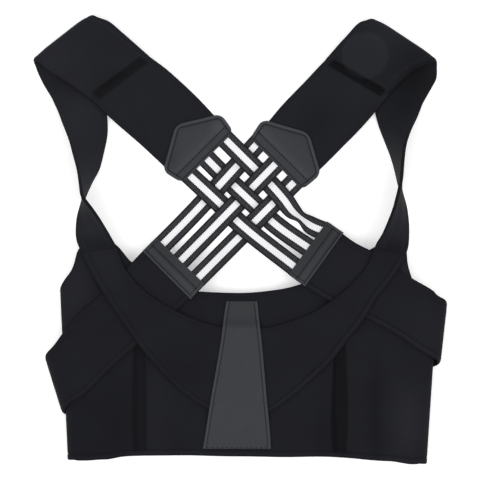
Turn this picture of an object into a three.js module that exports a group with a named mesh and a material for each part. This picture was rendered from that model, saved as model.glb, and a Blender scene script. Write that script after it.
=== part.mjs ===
// Posture corrector lying on its front, back side up. Millimetres, +Z up, +Y towards the shoulders.
// The origin is on the floor, under the middle of the outline.
import * as THREE from "three";

// Walls of the materials
const BAND_WALL = 3.0;
const STRAP_WALL = 2.4;
const PAD_WALL = 4.0;
const BACK_STRAP_WALL = 2.6;
const LEATHER_WALL = 1.2;
const ELASTIC_WALL = 1.5;
const CASING_WALL = 1.0;
const HOOK_WALL = 1.2;

// Clearance between layers that lie on each other, and what a leather piece over a bent layer gets on top
const GAP = 0.3;
const LEATHER_LIFT = 0.1;

// Widths that repeat
const ELASTIC_WIDTH = 21;
const TWIST_WIDTH = 40;

// Clear height inside the waist band, over its lapped front ends
const HOLLOW = 5.0;

// Heights of the middle of each layer, from the floor up
const FRONT_STRAP_Z = STRAP_WALL / 2;
const FRONT_Z = STRAP_WALL + GAP + BAND_WALL / 2;
const LAP_Z = FRONT_Z + BAND_WALL + HOOK_WALL + 2 * GAP;
const HOOK_Z = (FRONT_Z + LAP_Z) / 2;
const BACK_Z = LAP_Z + BAND_WALL + HOLLOW;
const BACK_TOP = BACK_Z + BAND_WALL / 2;
const STRAP_Z = BACK_TOP + GAP + STRAP_WALL / 2;
const YOKE_Z = STRAP_Z;
const YOKE_HIGH_Z = STRAP_Z + STRAP_WALL + GAP;
const PATCH_LOW_Z = BACK_TOP + GAP + LEATHER_WALL / 2;
const PATCH_HIGH_Z = YOKE_Z + (STRAP_WALL + LEATHER_WALL) / 2 + GAP;
const CASING_Z = BACK_TOP + GAP + CASING_WALL / 2;

// Folds at the sides and at the shoulders, to the middle of the wall
const BAND_FOLD = (BACK_Z - FRONT_Z) / 2;
const WRAP_FOLD = (STRAP_Z - FRONT_STRAP_Z) / 2;
const SHOULDER_FOLD = 5.0;

// Heights of the shoulder straps and of what lies on the floor between them
const PAD_LOW_Z = PAD_WALL / 2;
const PAD_SEAM_Z = 10.0;
const SEAM_Z = BACK_TOP + GAP + PAD_WALL / 2;
const BACK_STRAP_Z = BACK_STRAP_WALL / 2;
const CROSS_PATCH_Z = BACK_STRAP_WALL + GAP + LEATHER_WALL / 2 + LEATHER_LIFT;
const STRAP_REST_Z = 2.6;
const WEAVE_Z = 1.9;

// The plait: half the height between an upper and a lower band, and how far a crossing reaches
const WEAVE_RISE = 1.1;
const CROSSING_FLAT = 11.9;
const CROSSING_END = 15.7;

// The upper edge of the band at the back is a parabola, and what leaves it sinks to the floor in DROP mm
const EDGE_Y = -58.6;
const EDGE_BEND = 0.00245;
const DROP = 62;

const RAD = Math.PI / 180;

const cloth = { color: 0x202124, roughness: 0.9, metalness: 0 };
const leather = { color: 0x3c3d40, roughness: 0.5, metalness: 0 };
const elastic = { color: 0xe8e8ec, roughness: 0.8, metalness: 0 };

const model = new THREE.Group();

function add(name, geometry, finish) {
  const mesh = new THREE.Mesh(geometry, new THREE.MeshStandardMaterial(finish));
  mesh.name = name;
  model.add(mesh);
}

// Monotone cubic through (at[i], values[i]): smooth, and never past the values it is given.
function smoothColumn(at, values) {
  const last = at.length - 1;
  const rise = [];
  for (let i = 0; i < last; i += 1) {
    rise.push((values[i + 1] - values[i]) / (at[i + 1] - at[i]));
  }
  const slope = values.map((_, i) => {
    if (i === 0) return rise[0];
    if (i === last) return rise[last - 1];
    const [before, after] = [rise[i - 1], rise[i]];
    return before * after <= 0 ? 0 : (2 * before * after) / (before + after);
  });
  return (t) => {
    let i = 0;
    while (i < last - 1 && t > at[i + 1]) i += 1;
    const span = at[i + 1] - at[i];
    const s = (t - at[i]) / span;
    const blend = s * s * (3 - 2 * s);
    const start = s * (1 - s) * (1 - s) * span;
    const end = s * s * (s - 1) * span;
    return values[i] + (values[i + 1] - values[i]) * blend + slope[i] * start + slope[i + 1] * end;
  };
}

// A section across a ribbon, given by the two ends of its line.
function across({ fromX, fromY, toX, toY, z, ...rest }) {
  const [dx, dy] = [toX - fromX, toY - fromY];
  return {
    x: (fromX + toX) / 2,
    y: (fromY + toY) / 2,
    z,
    width: Math.hypot(dx, dy),
    aim: Math.atan2(dy, dx) / RAD,
    lean: 0,
    ...rest,
  };
}

// A fold row becomes a half circle of radius |fold|: its line is the outermost one, and z the height it
// ends at. slideIn and slideOut say how far the strip runs back along that line per mm round the fold, and
// growOut how much longer its far end is once round the fold.
function openFolds(rows) {
  const HALF_TURN = [90, 60, 30, 0, -30, -60, -90];
  return rows.flatMap((row, i) => {
    if (!row.fold) return [row];
    const { fold, slideIn = 0, slideOut = 0, growOut = 0 } = row;
    const line = new THREE.Vector2(Math.cos(row.aim * RAD), Math.sin(row.aim * RAD));
    const outward = new THREE.Vector2(-line.y, line.x);
    const toBefore = new THREE.Vector2(rows[i - 1].x - row.x, rows[i - 1].y - row.y);
    if (outward.dot(toBefore) > 0) outward.negate();
    return HALF_TURN.map((degrees) => {
      const turn = degrees * RAD;
      const inset = Math.abs(fold) * (Math.cos(turn) - 1);
      const grown = (growOut * Math.max(0, -degrees)) / 90;
      const run = Math.abs(fold) * turn * (turn > 0 ? slideIn : slideOut) + grown / 2;
      const place = new THREE.Vector2(row.x, row.y);
      place.addScaledVector(outward, inset).addScaledVector(line, run);
      const z = row.z + fold * (1 + Math.sin(turn));
      return { ...row, x: place.x, y: place.y, z, width: row.width + grown };
    });
  });
}

// Rows without an aim lie square to the path through their neighbours.
function squareToPath(rows) {
  return rows.map((row, i) => {
    if (row.aim !== undefined) return row;
    const before = rows[Math.max(i - 1, 0)];
    const after = rows[Math.min(i + 1, rows.length - 1)];
    return { ...row, aim: Math.atan2(after.y - before.y, after.x - before.x) / RAD + 90 };
  });
}

// A flat strip of even wall through sections { x, y, z, width, aim, lean, fold }: aim is the compass
// direction of the section's line, lean its tilt. lift(x, y) adds height at each point.
function ribbon(rows, { wall, step, strips, lift = () => 0 }) {
  const sections = openFolds(squareToPath(rows));
  const at = [0];
  for (let i = 1; i < sections.length; i += 1) {
    const [a, b] = [sections[i - 1], sections[i]];
    at.push(at[i - 1] + Math.hypot(b.x - a.x, b.y - a.y, b.z - a.z));
  }
  const column = (key) => smoothColumn(at, sections.map((section) => section[key]));
  const [x, y, z, width, aim, lean] = ["x", "y", "z", "width", "aim", "lean"].map(column);

  const stations = [0];
  for (let i = 1; i < at.length; i += 1) {
    const parts = Math.max(1, Math.round((at[i] - at[i - 1]) / step));
    for (let k = 1; k <= parts; k += 1) stations.push(at[i - 1] + ((at[i] - at[i - 1]) * k) / parts);
  }
  const point = (t, v) => {
    const side = (v - 0.5) * width(t);
    const flat = side * Math.cos(lean(t) * RAD);
    const px = x(t) + flat * Math.cos(aim(t) * RAD);
    const py = y(t) + flat * Math.sin(aim(t) * RAD);
    return new THREE.Vector3(px, py, z(t) + side * Math.sin(lean(t) * RAD) + lift(px, py));
  };
  const grid = stations.map((t) => {
    const line = [];
    for (let j = 0; j <= strips; j += 1) line.push(point(t, j / strips));
    return line;
  });
  return shell(grid, wall);
}

// A closed solid of even wall about a grid of points.
function shell(grid, wall) {
  const [rows, columns] = [grid.length, grid[0].length];
  const positions = [];
  const index = (i, j, side) => (i * columns + j) * 2 + side;
  for (let i = 0; i < rows; i += 1) {
    for (let j = 0; j < columns; j += 1) {
      const along = grid[Math.min(i + 1, rows - 1)][j].clone().sub(grid[Math.max(i - 1, 0)][j]);
      const over = grid[i][Math.min(j + 1, columns - 1)].clone().sub(grid[i][Math.max(j - 1, 0)]);
      const offset = along.cross(over).normalize().multiplyScalar(wall / 2);
      positions.push(...grid[i][j].clone().add(offset).toArray());
      positions.push(...grid[i][j].clone().sub(offset).toArray());
    }
  }
  const faces = [];
  const quad = (a, b, c, d) => faces.push(a, b, c, a, c, d);
  for (let i = 0; i + 1 < rows; i += 1) {
    for (let j = 0; j + 1 < columns; j += 1) {
      quad(index(i, j, 0), index(i + 1, j, 0), index(i + 1, j + 1, 0), index(i, j + 1, 0));
      quad(index(i, j, 1), index(i, j + 1, 1), index(i + 1, j + 1, 1), index(i + 1, j, 1));
    }
    const edge = columns - 1;
    quad(index(i, 0, 0), index(i, 0, 1), index(i + 1, 0, 1), index(i + 1, 0, 0));
    quad(index(i, edge, 0), index(i + 1, edge, 0), index(i + 1, edge, 1), index(i, edge, 1));
  }
  for (let j = 0; j + 1 < columns; j += 1) {
    const end = rows - 1;
    quad(index(0, j, 0), index(0, j + 1, 0), index(0, j + 1, 1), index(0, j, 1));
    quad(index(end, j, 0), index(end, j, 1), index(end, j + 1, 1), index(end, j + 1, 0));
  }
  const geometry = new THREE.BufferGeometry();
  geometry.setAttribute("position", new THREE.Float32BufferAttribute(positions, 3));
  geometry.setIndex(faces);
  return geometry;
}

// How far a point beyond the band's upper edge has sunk: 0 on the band, 1 on the floor.
function sunk(x, y) {
  return THREE.MathUtils.smoothstep(y - (EDGE_Y + EDGE_BEND * x * x), 0, DROP);
}

const strapDrape = (x, y) => (STRAP_REST_Z - STRAP_Z) * sunk(x, y);
const elasticDrape = (x, y) => (WEAVE_Z - STRAP_Z) * sunk(x, y);

// The waist band: a flattened tube from the inner front end, round the left side, the back and the right
// side, to the outer front end.
function waistBand() {
  const lapEnd = 35;
  const frontTop = -69;
  const frontBottom = -233;
  const rows = [
    { fromX: lapEnd, fromY: frontBottom, toX: lapEnd, toY: frontTop, z: LAP_Z },
    { fromX: -45, fromY: frontBottom, toX: -45, toY: frontTop, z: LAP_Z },
    { fromX: -92, fromY: -234, toX: -92, toY: -68, z: FRONT_Z },
    { fromX: -162, fromY: -238, toX: -166, toY: -63, z: FRONT_Z },
    { fromX: -188, fromY: -241.5, toX: -196.5, toY: -55, z: BACK_Z, fold: -BAND_FOLD, growOut: 14 },
    { fromX: -179, fromY: -242, toX: -187, toY: -36.5, z: BACK_Z },
    { fromX: -172, fromY: -242, toX: -182, toY: -26, z: BACK_Z },
    { fromX: -166, fromY: -242, toX: -178.5, toY: -12, z: BACK_Z },
    { fromX: -150, fromY: -241, toX: -165, toY: -1, z: BACK_Z },
    { fromX: -136, fromY: -239, toX: -140, toY: -3, z: BACK_Z },
    { fromX: -117, fromY: -237, toX: -118, toY: -25, z: BACK_Z },
    { fromX: -88, fromY: -236.6, toX: -88, toY: -40, z: BACK_Z },
    { fromX: -44, fromY: -236.6, toX: -44, toY: -56.4, z: BACK_Z },
    { fromX: 0, fromY: -237.5, toX: 0, toY: -58, z: BACK_Z },
    { fromX: 44, fromY: -238.2, toX: 44, toY: -54, z: BACK_Z },
    { fromX: 88, fromY: -237.8, toX: 88, toY: -40, z: BACK_Z },
    { fromX: 123, fromY: -239.6, toX: 123, toY: -21, z: BACK_Z },
    { fromX: 145, fromY: -241.8, toX: 147, toY: -8, z: BACK_Z },
    { fromX: 160, fromY: -242.6, toX: 162, toY: 0, z: BACK_Z },
    { fromX: 174, fromY: -244, toX: 181, toY: -4, z: BACK_Z },
    { fromX: 186, fromY: -246, toX: 184.8, toY: -30, z: BACK_Z },
    { fromX: 194, fromY: -246, toX: 194.5, toY: -58, z: BACK_Z },
    { fromX: 204, fromY: -246, toX: 215, toY: -79, z: FRONT_Z, fold: BAND_FOLD },
    { fromX: 178, fromY: -240, toX: 184, toY: -76, z: FRONT_Z },
    { fromX: 92, fromY: -234, toX: 92, toY: frontTop, z: FRONT_Z },
    { fromX: -lapEnd, fromY: frontBottom, toX: -lapEnd, toY: frontTop, z: FRONT_Z },
  ];
  add("waist_band", ribbon(rows.map(across), { wall: BAND_WALL, step: 22, strips: 8 }), cloth);
}

// The hook strip between the lapped front ends.
function frontFastener() {
  const reach = 30;
  const rows = [
    { fromX: -reach, fromY: -225, toX: -reach, toY: -77, z: HOOK_Z },
    { fromX: reach, fromY: -225, toX: reach, toY: -77, z: HOOK_Z },
  ];
  add("front_fastener", ribbon(rows.map(across), { wall: HOOK_WALL, step: 60, strips: 1 }), cloth);
}

// Each wrap strap leaves the lattice, passes over the band, folds round the side and lies on the floor.
function wrapStraps() {
  const leftSlide = { slideIn: 0.5, slideOut: 0.44 };
  const rightSlide = { slideIn: 0.36, slideOut: 0.49 };
  const left = [
    { fromX: -47, fromY: -57, toX: -103, toY: -8, z: STRAP_Z },
    { fromX: -68, fromY: -76, toX: -118, toY: -24, z: STRAP_Z },
    { fromX: -82, fromY: -88, toX: -130, toY: -37, z: STRAP_Z },
    { fromX: -112, fromY: -114, toX: -150, toY: -58, z: STRAP_Z },
    { fromX: -145, fromY: -144, toX: -175, toY: -79, z: STRAP_Z },
    { fromX: -170, fromY: -169, toX: -191, toY: -98, z: STRAP_Z },
    { fromX: -194.5, fromY: -190, toX: -213.7, toY: -128.3, z: FRONT_STRAP_Z, fold: WRAP_FOLD, ...leftSlide },
    { fromX: -165, fromY: -195, toX: -176, toY: -132, z: FRONT_STRAP_Z },
    { fromX: -99, fromY: -204, toX: -105, toY: -140, z: FRONT_STRAP_Z },
    { fromX: -9, fromY: -211, toX: -10, toY: -151, z: FRONT_STRAP_Z },
  ];
  const right = [
    { fromX: 61, fromY: -44, toX: 104.3, toY: 13.3, z: STRAP_Z },
    { fromX: 82, fromY: -58, toX: 127, toY: -3.2, z: STRAP_Z },
    { fromX: 101, fromY: -69, toX: 150, toY: -15, z: STRAP_Z },
    { fromX: 121, fromY: -78, toX: 169, toY: -30, z: STRAP_Z },
    { fromX: 141, fromY: -87, toX: 187, toY: -41, z: STRAP_Z },
    { fromX: 178, fromY: -108, toX: 209.5, toY: -54, z: STRAP_Z },
    { fromX: 219.6, fromY: -135, toX: 227, toY: -68, z: FRONT_STRAP_Z, fold: WRAP_FOLD, ...rightSlide },
    { fromX: 187, fromY: -150, toX: 196, toY: -86, z: FRONT_STRAP_Z },
    { fromX: 110, fromY: -182, toX: 112, toY: -118, z: FRONT_STRAP_Z },
    { fromX: 10, fromY: -211, toX: 9, toY: -151, z: FRONT_STRAP_Z },
  ];
  const make = { wall: STRAP_WALL, step: 14, strips: 4, lift: strapDrape };
  add("wrap_strap_left", ribbon(left.map(across), make), cloth);
  add("wrap_strap_right", ribbon(right.map(across), make), cloth);
}

// Each yoke half runs from the armpit over the wrap strap to the middle of the back.
function yokes() {
  const left = [
    { fromX: -172, fromY: -18, toX: -134, toY: -11, z: YOKE_Z },
    { fromX: -164, fromY: -34, toX: -131, toY: -19, z: YOKE_Z },
    { fromX: -155, fromY: -50, toX: -128, toY: -28, z: YOKE_HIGH_Z },
    { fromX: -132, fromY: -86, toX: -101, toY: -58, z: YOKE_HIGH_Z },
    { fromX: -106, fromY: -122, toX: -65, toY: -80, z: YOKE_HIGH_Z },
    { fromX: -91, fromY: -140, toX: -51, toY: -86, z: YOKE_Z },
    { fromX: -66, fromY: -165, toX: -33, toY: -92, z: YOKE_Z },
    { fromX: -37, fromY: -185, toX: -20, toY: -95, z: YOKE_Z },
    { fromX: -20, fromY: -191, toX: -7, toY: -96, z: YOKE_Z },
  ];
  const right = [
    { fromX: 180, fromY: -21, toX: 146, toY: -12, z: YOKE_HIGH_Z },
    { fromX: 167, fromY: -42, toX: 139, toY: -28, z: YOKE_HIGH_Z },
    { fromX: 154, fromY: -58, toX: 123, toY: -47, z: YOKE_HIGH_Z },
    { fromX: 133, fromY: -91, toX: 92, toY: -72, z: YOKE_HIGH_Z },
    { fromX: 120, fromY: -107, toX: 78, toY: -80, z: YOKE_Z },
    { fromX: 100, fromY: -133, toX: 61, toY: -87, z: YOKE_Z },
    { fromX: 77, fromY: -155, toX: 45, toY: -92, z: YOKE_Z },
    { fromX: 53, fromY: -175, toX: 33, toY: -95, z: YOKE_Z },
    { fromX: 32, fromY: -189, toX: 24, toY: -96, z: YOKE_Z },
    { fromX: 16, fromY: -194, toX: 9, toY: -97, z: YOKE_Z },
  ];
  const make = { wall: STRAP_WALL, step: 9, strips: 4 };
  add("yoke_left", ribbon(left.map(across), make), cloth);
  add("yoke_right", ribbon(right.map(across), make), cloth);
}

// The leather trapezoid steps up over the ends of the yoke and down again to the hem.
function centrePatch() {
  const rows = [
    { fromX: -15, fromY: -67, toX: 19, toY: -67, z: PATCH_LOW_Z },
    { fromX: -18, fromY: -83, toX: 21, toY: -83, z: PATCH_LOW_Z },
    { fromX: -19, fromY: -93, toX: 22, toY: -93, z: PATCH_HIGH_Z },
    { fromX: -35, fromY: -196, toX: 31, toY: -196, z: PATCH_HIGH_Z },
    { fromX: -37, fromY: -206, toX: 32, toY: -206, z: PATCH_LOW_Z },
    { fromX: -41, fromY: -229, toX: 34, toY: -229, z: PATCH_LOW_Z },
  ];
  add("centre_patch", ribbon(rows.map(across), { wall: LEATHER_WALL, step: 12, strips: 4 }), leather);
}

// Upright casings sewn on the back of the band, from the yoke to the hem.
function stayCasings() {
  const left = [
    { fromX: -117, fromY: -124, toX: -104, toY: -136, z: CASING_Z },
    { fromX: -117, fromY: -231, toX: -104, toY: -231, z: CASING_Z },
  ];
  const right = [
    { fromX: 102, fromY: -140, toX: 116, toY: -121, z: CASING_Z },
    { fromX: 102, fromY: -232, toX: 116, toY: -233, z: CASING_Z },
  ];
  const make = { wall: CASING_WALL, step: 110, strips: 1 };
  add("stay_casing_left", ribbon(left.map(across), make), cloth);
  add("stay_casing_right", ribbon(right.map(across), make), cloth);
}

// Padded straps: from the seam on the back, over the fold at the shoulder, turned on edge at the armpit,
// to the seam with the yoke. Each section's line points to the edge nearer the neck.
function shoulderStraps() {
  const foldTop = PAD_LOW_Z + 2 * SHOULDER_FOLD;
  const leftFold = { fold: SHOULDER_FOLD, slideIn: 0.38, slideOut: 0.31 };
  const rightFold = { fold: SHOULDER_FOLD, slideIn: 0.47, slideOut: 0.6 };
  const left = [
    { x: -132.1, y: 178.6, z: PAD_SEAM_Z, width: 80, aim: 36, lean: 0 },
    { x: -163.5, y: 203.4, z: foldTop, width: 83.3, aim: 39, lean: 0 },
    { x: -177.5, y: 213, z: foldTop, width: 85, aim: 38.5, lean: 0 },
    { x: -195.3, y: 222.6, z: PAD_LOW_Z, width: 80, aim: 38, lean: 0, ...leftFold },
    { x: -184, y: 190.5, z: PAD_LOW_Z, width: 75.2, aim: 28, lean: 0 },
    { x: -175.1, y: 164.6, z: 4.5, width: 65.3, aim: 22, lean: -4 },
    { x: -172.1, y: 142.3, z: 9.5, width: 54.3, aim: 17, lean: -14 },
    { x: -166, y: 106.5, z: 16.8, width: 48.3, aim: 11, lean: -37 },
    { x: -166, y: 81.5, z: 20.4, width: 42, aim: 5, lean: -54 },
    { x: -169.5, y: 61.5, z: 22.4, width: TWIST_WIDTH, aim: 2, lean: -76 },
    { x: -171.5, y: 47, z: 23.2, width: TWIST_WIDTH, aim: 0, lean: -90 },
    { x: -169.1, y: 36.5, z: 25, width: TWIST_WIDTH, aim: -2, lean: -107 },
    { x: -165, y: 20, z: 27, width: TWIST_WIDTH, aim: -4, lean: -134 },
    { x: -159.5, y: 0, z: 26, width: 41, aim: 1, lean: -162 },
    { x: -153.7, y: -12.8, z: SEAM_Z, width: 38.6, aim: 10.4, lean: -180 },
  ];
  const right = [
    { x: 128.5, y: 179.1, z: PAD_SEAM_Z, width: 79.1, aim: 151, lean: 0 },
    { x: 148.9, y: 200.9, z: foldTop, width: 79.4, aim: 146, lean: 0 },
    { x: 165.5, y: 214.2, z: foldTop, width: 81.7, aim: 143.5, lean: 0 },
    { x: 181.7, y: 219.9, z: PAD_LOW_Z, width: 81, aim: 146.5, lean: 0, ...rightFold },
    { x: 184, y: 196, z: PAD_LOW_Z, width: 74, aim: 151, lean: 0 },
    { x: 180.6, y: 182.7, z: PAD_LOW_Z, width: 68.2, aim: 155, lean: 0 },
    { x: 173, y: 155, z: 5, width: 56, aim: 160, lean: -6 },
    { x: 169.4, y: 124, z: 18.4, width: 47, aim: 166, lean: -41 },
    { x: 170.6, y: 107.5, z: 22, width: 44, aim: 173, lean: -61 },
    { x: 173.1, y: 88, z: 22.8, width: 41, aim: 178, lean: -76 },
    { x: 175.1, y: 62, z: 23.2, width: TWIST_WIDTH, aim: 180, lean: -90 },
    { x: 175.3, y: 38, z: 25.7, width: 39, aim: 180, lean: -109 },
    { x: 173.4, y: 21.5, z: 29.4, width: 38, aim: 180, lean: -125 },
    { x: 170, y: 4, z: 30, width: 36, aim: 176, lean: -144 },
    { x: 163.6, y: -14.8, z: SEAM_Z + STRAP_WALL + GAP, width: 35.2, aim: 165.2, lean: -180 },
  ];
  const make = { wall: PAD_WALL, step: 9, strips: 5 };
  add("shoulder_strap_left", ribbon(left, make), cloth);
  add("shoulder_strap_right", ribbon(right, make), cloth);
}

// Thinner straps from the pads down to the leather patches on the floor.
function backStraps() {
  const left = [
    { fromX: -164.2, fromY: 154.7, toX: -99.4, toY: 201.7, z: PAD_SEAM_Z },
    { fromX: -136, fromY: 128.1, toX: -75.6, toY: 183.4, z: 6.5 },
    { fromX: -107.2, fromY: 103, toX: -48, toY: 158, z: BACK_STRAP_Z },
    { fromX: -75.6, fromY: 73.4, toX: -21, toY: 129, z: BACK_STRAP_Z },
  ];
  const right = [
    { fromX: 163.4, fromY: 159.2, toX: 93.7, toY: 197.8, z: PAD_SEAM_Z },
    { fromX: 134.6, fromY: 124.5, toX: 72.5, toY: 175.4, z: 6.5 },
    { fromX: 107.9, fromY: 97.2, toX: 49.3, toY: 151.7, z: BACK_STRAP_Z },
    { fromX: 77.2, fromY: 66.9, toX: 22, toY: 119, z: BACK_STRAP_Z },
  ];
  const make = { wall: BACK_STRAP_WALL, step: 14, strips: 3 };
  add("back_strap_left", ribbon(left.map(across), make), cloth);
  add("back_strap_right", ribbon(right.map(across), make), cloth);
}

// Five-sided leather patches with rounded corners, over the joint of back strap and elastic.
function crossPatches() {
  const corner = 7;
  const plate = (corners) => {
    const points = corners.map(({ x, y }) => new THREE.Vector2(x, y));
    const near = (from, to) => from.clone().add(to.clone().sub(from).setLength(corner));
    const shape = new THREE.Shape();
    points.forEach((here, i) => {
      const before = near(here, points.at(i - 1));
      const after = near(here, points[(i + 1) % points.length]);
      if (i === 0) shape.moveTo(before.x, before.y);
      else shape.lineTo(before.x, before.y);
      shape.quadraticCurveTo(here.x, here.y, after.x, after.y);
    });
    shape.closePath();
    const solid = { depth: LEATHER_WALL, bevelEnabled: false, curveSegments: 3 };
    return new THREE.ExtrudeGeometry(shape, solid).translate(0, 0, CROSS_PATCH_Z - LEATHER_WALL / 2);
  };
  const left = [
    { x: -85, y: 75.8 },
    { x: -63.7, y: 62.6 },
    { x: -6.9, y: 119.2 },
    { x: -21, y: 139 },
    { x: -71, y: 127 },
  ];
  const right = [
    { x: 68.5, y: 55 },
    { x: 89.3, y: 72.5 },
    { x: 76, y: 118 },
    { x: 24.5, y: 133 },
    { x: 11, y: 112 },
  ];
  add("cross_patch_left", plate(left), leather);
  add("cross_patch_right", plate(right), leather);
}

// Leather strips over the joint of elastic and wrap strap, sinking with them towards the floor.
function strapTips() {
  const level = STRAP_Z + (STRAP_WALL + LEATHER_WALL) / 2 + GAP + LEATHER_LIFT;
  const left = [
    { fromX: -54, fromY: -65, toX: -107, toY: -12, z: level },
    { fromX: -39, fromY: -48, toX: -92.4, toY: 2.7, z: level },
  ];
  const right = [
    { fromX: 71, fromY: -51, toX: 114, toY: 8, z: level },
    { fromX: 53, fromY: -38, toX: 96, toY: 20.5, z: level },
  ];
  const make = { wall: LEATHER_WALL, step: 6, strips: 8, lift: strapDrape };
  add("strap_tip_left", ribbon(left.map(across), make), leather);
  add("strap_tip_right", ribbon(right.map(across), make), leather);
}

// Six elastic bands, plaited: falling bands run down to the right, rising bands up to the right. The
// first falling band is slack, and turns a little on its edge before it reaches its strip.
function elasticLattice() {
  const falling = [
    [
      { x: -24, y: 119 },
      { x: 3, y: 92 },
      { x: 34, y: 61 },
      { x: 48, y: 45 },
      { x: 59, y: 31, rise: 4, lean: 30 },
      { x: 67, y: 25, rise: 8.5, lean: 55 },
      { x: 79, y: 15.6, rise: 2.2, lean: 16 },
      { x: 97, y: 8 },
    ],
    [
      { x: -45, y: 98 },
      { x: -16, y: 69 },
      { x: 18, y: 37 },
      { x: 38, y: 18 },
      { x: 83, y: -14 },
    ],
    [
      { x: -64, y: 79 },
      { x: -20, y: 38 },
      { x: 0, y: 18 },
      { x: 67, y: -35 },
    ],
  ];
  const rising = [
    [
      { x: -92, y: -12 },
      { x: -52.5, y: 28.3 },
      { x: -22, y: 61 },
      { x: 26, y: 114 },
    ],
    [
      { x: -72, y: -30 },
      { x: 48, y: 93 },
    ],
    [
      { x: -53, y: -49 },
      { x: 68, y: 72 },
    ],
  ];

  const distance = (path, x, y) => {
    const here = new THREE.Vector3(x, y, 0);
    const corners = path.map((row) => new THREE.Vector3(row.x, row.y, 0));
    const nearest = new THREE.Vector3();
    return corners.slice(1).reduce((least, corner, i) => {
      new THREE.Line3(corners[i], corner).closestPointToPoint(here, true, nearest);
      return Math.min(least, nearest.distanceTo(here));
    }, Infinity);
  };
  const plait = (others, over, own) => (x, y) => {
    const crossings = others.map((path, k) => {
      const near = 1 - THREE.MathUtils.smoothstep(distance(path, x, y), CROSSING_FLAT, CROSSING_END);
      return ((own + k) % 2 === 0 ? over : -over) * WEAVE_RISE * near;
    });
    return elasticDrape(x, y) + crossings.reduce((sum, height) => sum + height, 0);
  };
  const lay = (name, paths, others, over) => {
    paths.forEach((path, own) => {
      const rows = path.map(({ x, y, rise = 0, lean = 0 }) => {
        return { x, y, z: STRAP_Z + rise, width: ELASTIC_WIDTH, lean };
      });
      const make = { wall: ELASTIC_WALL, step: 3.4, strips: 2, lift: plait(others, over, own) };
      add(`${name}_${own + 1}`, ribbon(rows, make), elastic);
    });
  };
  lay("elastic_falling", falling, rising, 1);
  lay("elastic_rising", rising, falling, -1);
}

waistBand();
frontFastener();
wrapStraps();
yokes();
centrePatch();
stayCasings();
shoulderStraps();
backStraps();
crossPatches();
strapTips();
elasticLattice();

// The origin goes under the middle of the outline, on the floor.
const outline = new THREE.Box3().setFromObject(model);
const middle = outline.getCenter(new THREE.Vector3());
model.position.set(-middle.x, -middle.y, -outline.min.z);

export default model;
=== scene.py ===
"""Looks of a posture corrector that lies on its front, back side up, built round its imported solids.

Lengths in the tables are millimetres, +Y towards the shoulders; meshes are in metres.
"""
import math
from collections import namedtuple

import bpy
import numpy as np
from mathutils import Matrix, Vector


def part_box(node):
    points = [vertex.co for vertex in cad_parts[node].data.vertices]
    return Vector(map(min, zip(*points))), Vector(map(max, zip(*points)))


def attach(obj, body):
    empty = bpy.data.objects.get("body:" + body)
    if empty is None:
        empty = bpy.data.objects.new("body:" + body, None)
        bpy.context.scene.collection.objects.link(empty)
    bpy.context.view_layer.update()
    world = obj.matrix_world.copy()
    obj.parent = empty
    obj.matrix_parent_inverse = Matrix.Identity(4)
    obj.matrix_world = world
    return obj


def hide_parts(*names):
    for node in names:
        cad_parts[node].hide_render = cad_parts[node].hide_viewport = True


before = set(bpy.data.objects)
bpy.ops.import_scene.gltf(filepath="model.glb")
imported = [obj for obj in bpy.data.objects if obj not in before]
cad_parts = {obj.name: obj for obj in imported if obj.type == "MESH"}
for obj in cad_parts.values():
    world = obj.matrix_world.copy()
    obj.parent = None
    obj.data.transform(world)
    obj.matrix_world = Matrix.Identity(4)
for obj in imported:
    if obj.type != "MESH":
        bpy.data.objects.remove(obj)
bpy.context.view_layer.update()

bl_info = {
    "name": "Posture corrector",
    "version": (1, 0, 0),
    "blender": (4, 5, 0),
    "location": "View3D > Sidebar > Brace",
    "description": "Lays a cloth posture corrector with a plaited elastic back round its solids",
    "category": "Object",
}

MM = 0.001

# Walls of the solids
BAND_WALL = 3.0
STRAP_WALL = 2.4
PAD_WALL = 4.0
BACK_STRAP_WALL = 2.6
LEATHER_WALL = 1.2
ELASTIC_WALL = 1.5
CASING_WALL = 1.0
HOOK_WALL = 1.2
GAP = 0.3

# Heights of the middle of each layer, from the floor up
HOLLOW = 5.0
FRONT_STRAP_Z = STRAP_WALL / 2
FRONT_Z = STRAP_WALL + GAP + BAND_WALL / 2
LAP_Z = FRONT_Z + BAND_WALL + HOOK_WALL + 2 * GAP
HOOK_Z = (FRONT_Z + LAP_Z) / 2
BACK_Z = LAP_Z + BAND_WALL + HOLLOW
BACK_TOP = BACK_Z + BAND_WALL / 2
STRAP_Z = BACK_TOP + GAP + STRAP_WALL / 2
YOKE_Z = STRAP_Z
YOKE_HIGH_Z = STRAP_Z + STRAP_WALL + GAP
PATCH_LOW_Z = BACK_TOP + GAP + LEATHER_WALL / 2
PATCH_HIGH_Z = YOKE_Z + (STRAP_WALL + LEATHER_WALL) / 2 + GAP
SEAM_LAP = 0.6
CASING_Z = BACK_TOP + GAP + CASING_WALL / 2
PAD_LOW_Z = PAD_WALL / 2
PAD_SEAM_Z = 10.0
BACK_STRAP_Z = BACK_STRAP_WALL / 2
BACK_STRAP_RISE_Z = 6.5
TIP_LIFT = 0.1
CROSS_PATCH_Z = BACK_STRAP_WALL + GAP + LEATHER_WALL / 2 + TIP_LIFT
TIP_Z = STRAP_Z + (STRAP_WALL + LEATHER_WALL) / 2 + GAP + TIP_LIFT
WEAVE_Z = 1.9

# Folds at the sides and at the shoulders, to the middle of the wall
BAND_FOLD = (BACK_Z - FRONT_Z) / 2
WRAP_FOLD = (STRAP_Z - FRONT_STRAP_Z) / 2
SHOULDER_FOLD = 5.0
FOLD_TOP = PAD_LOW_Z + 2 * SHOULDER_FOLD

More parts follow.
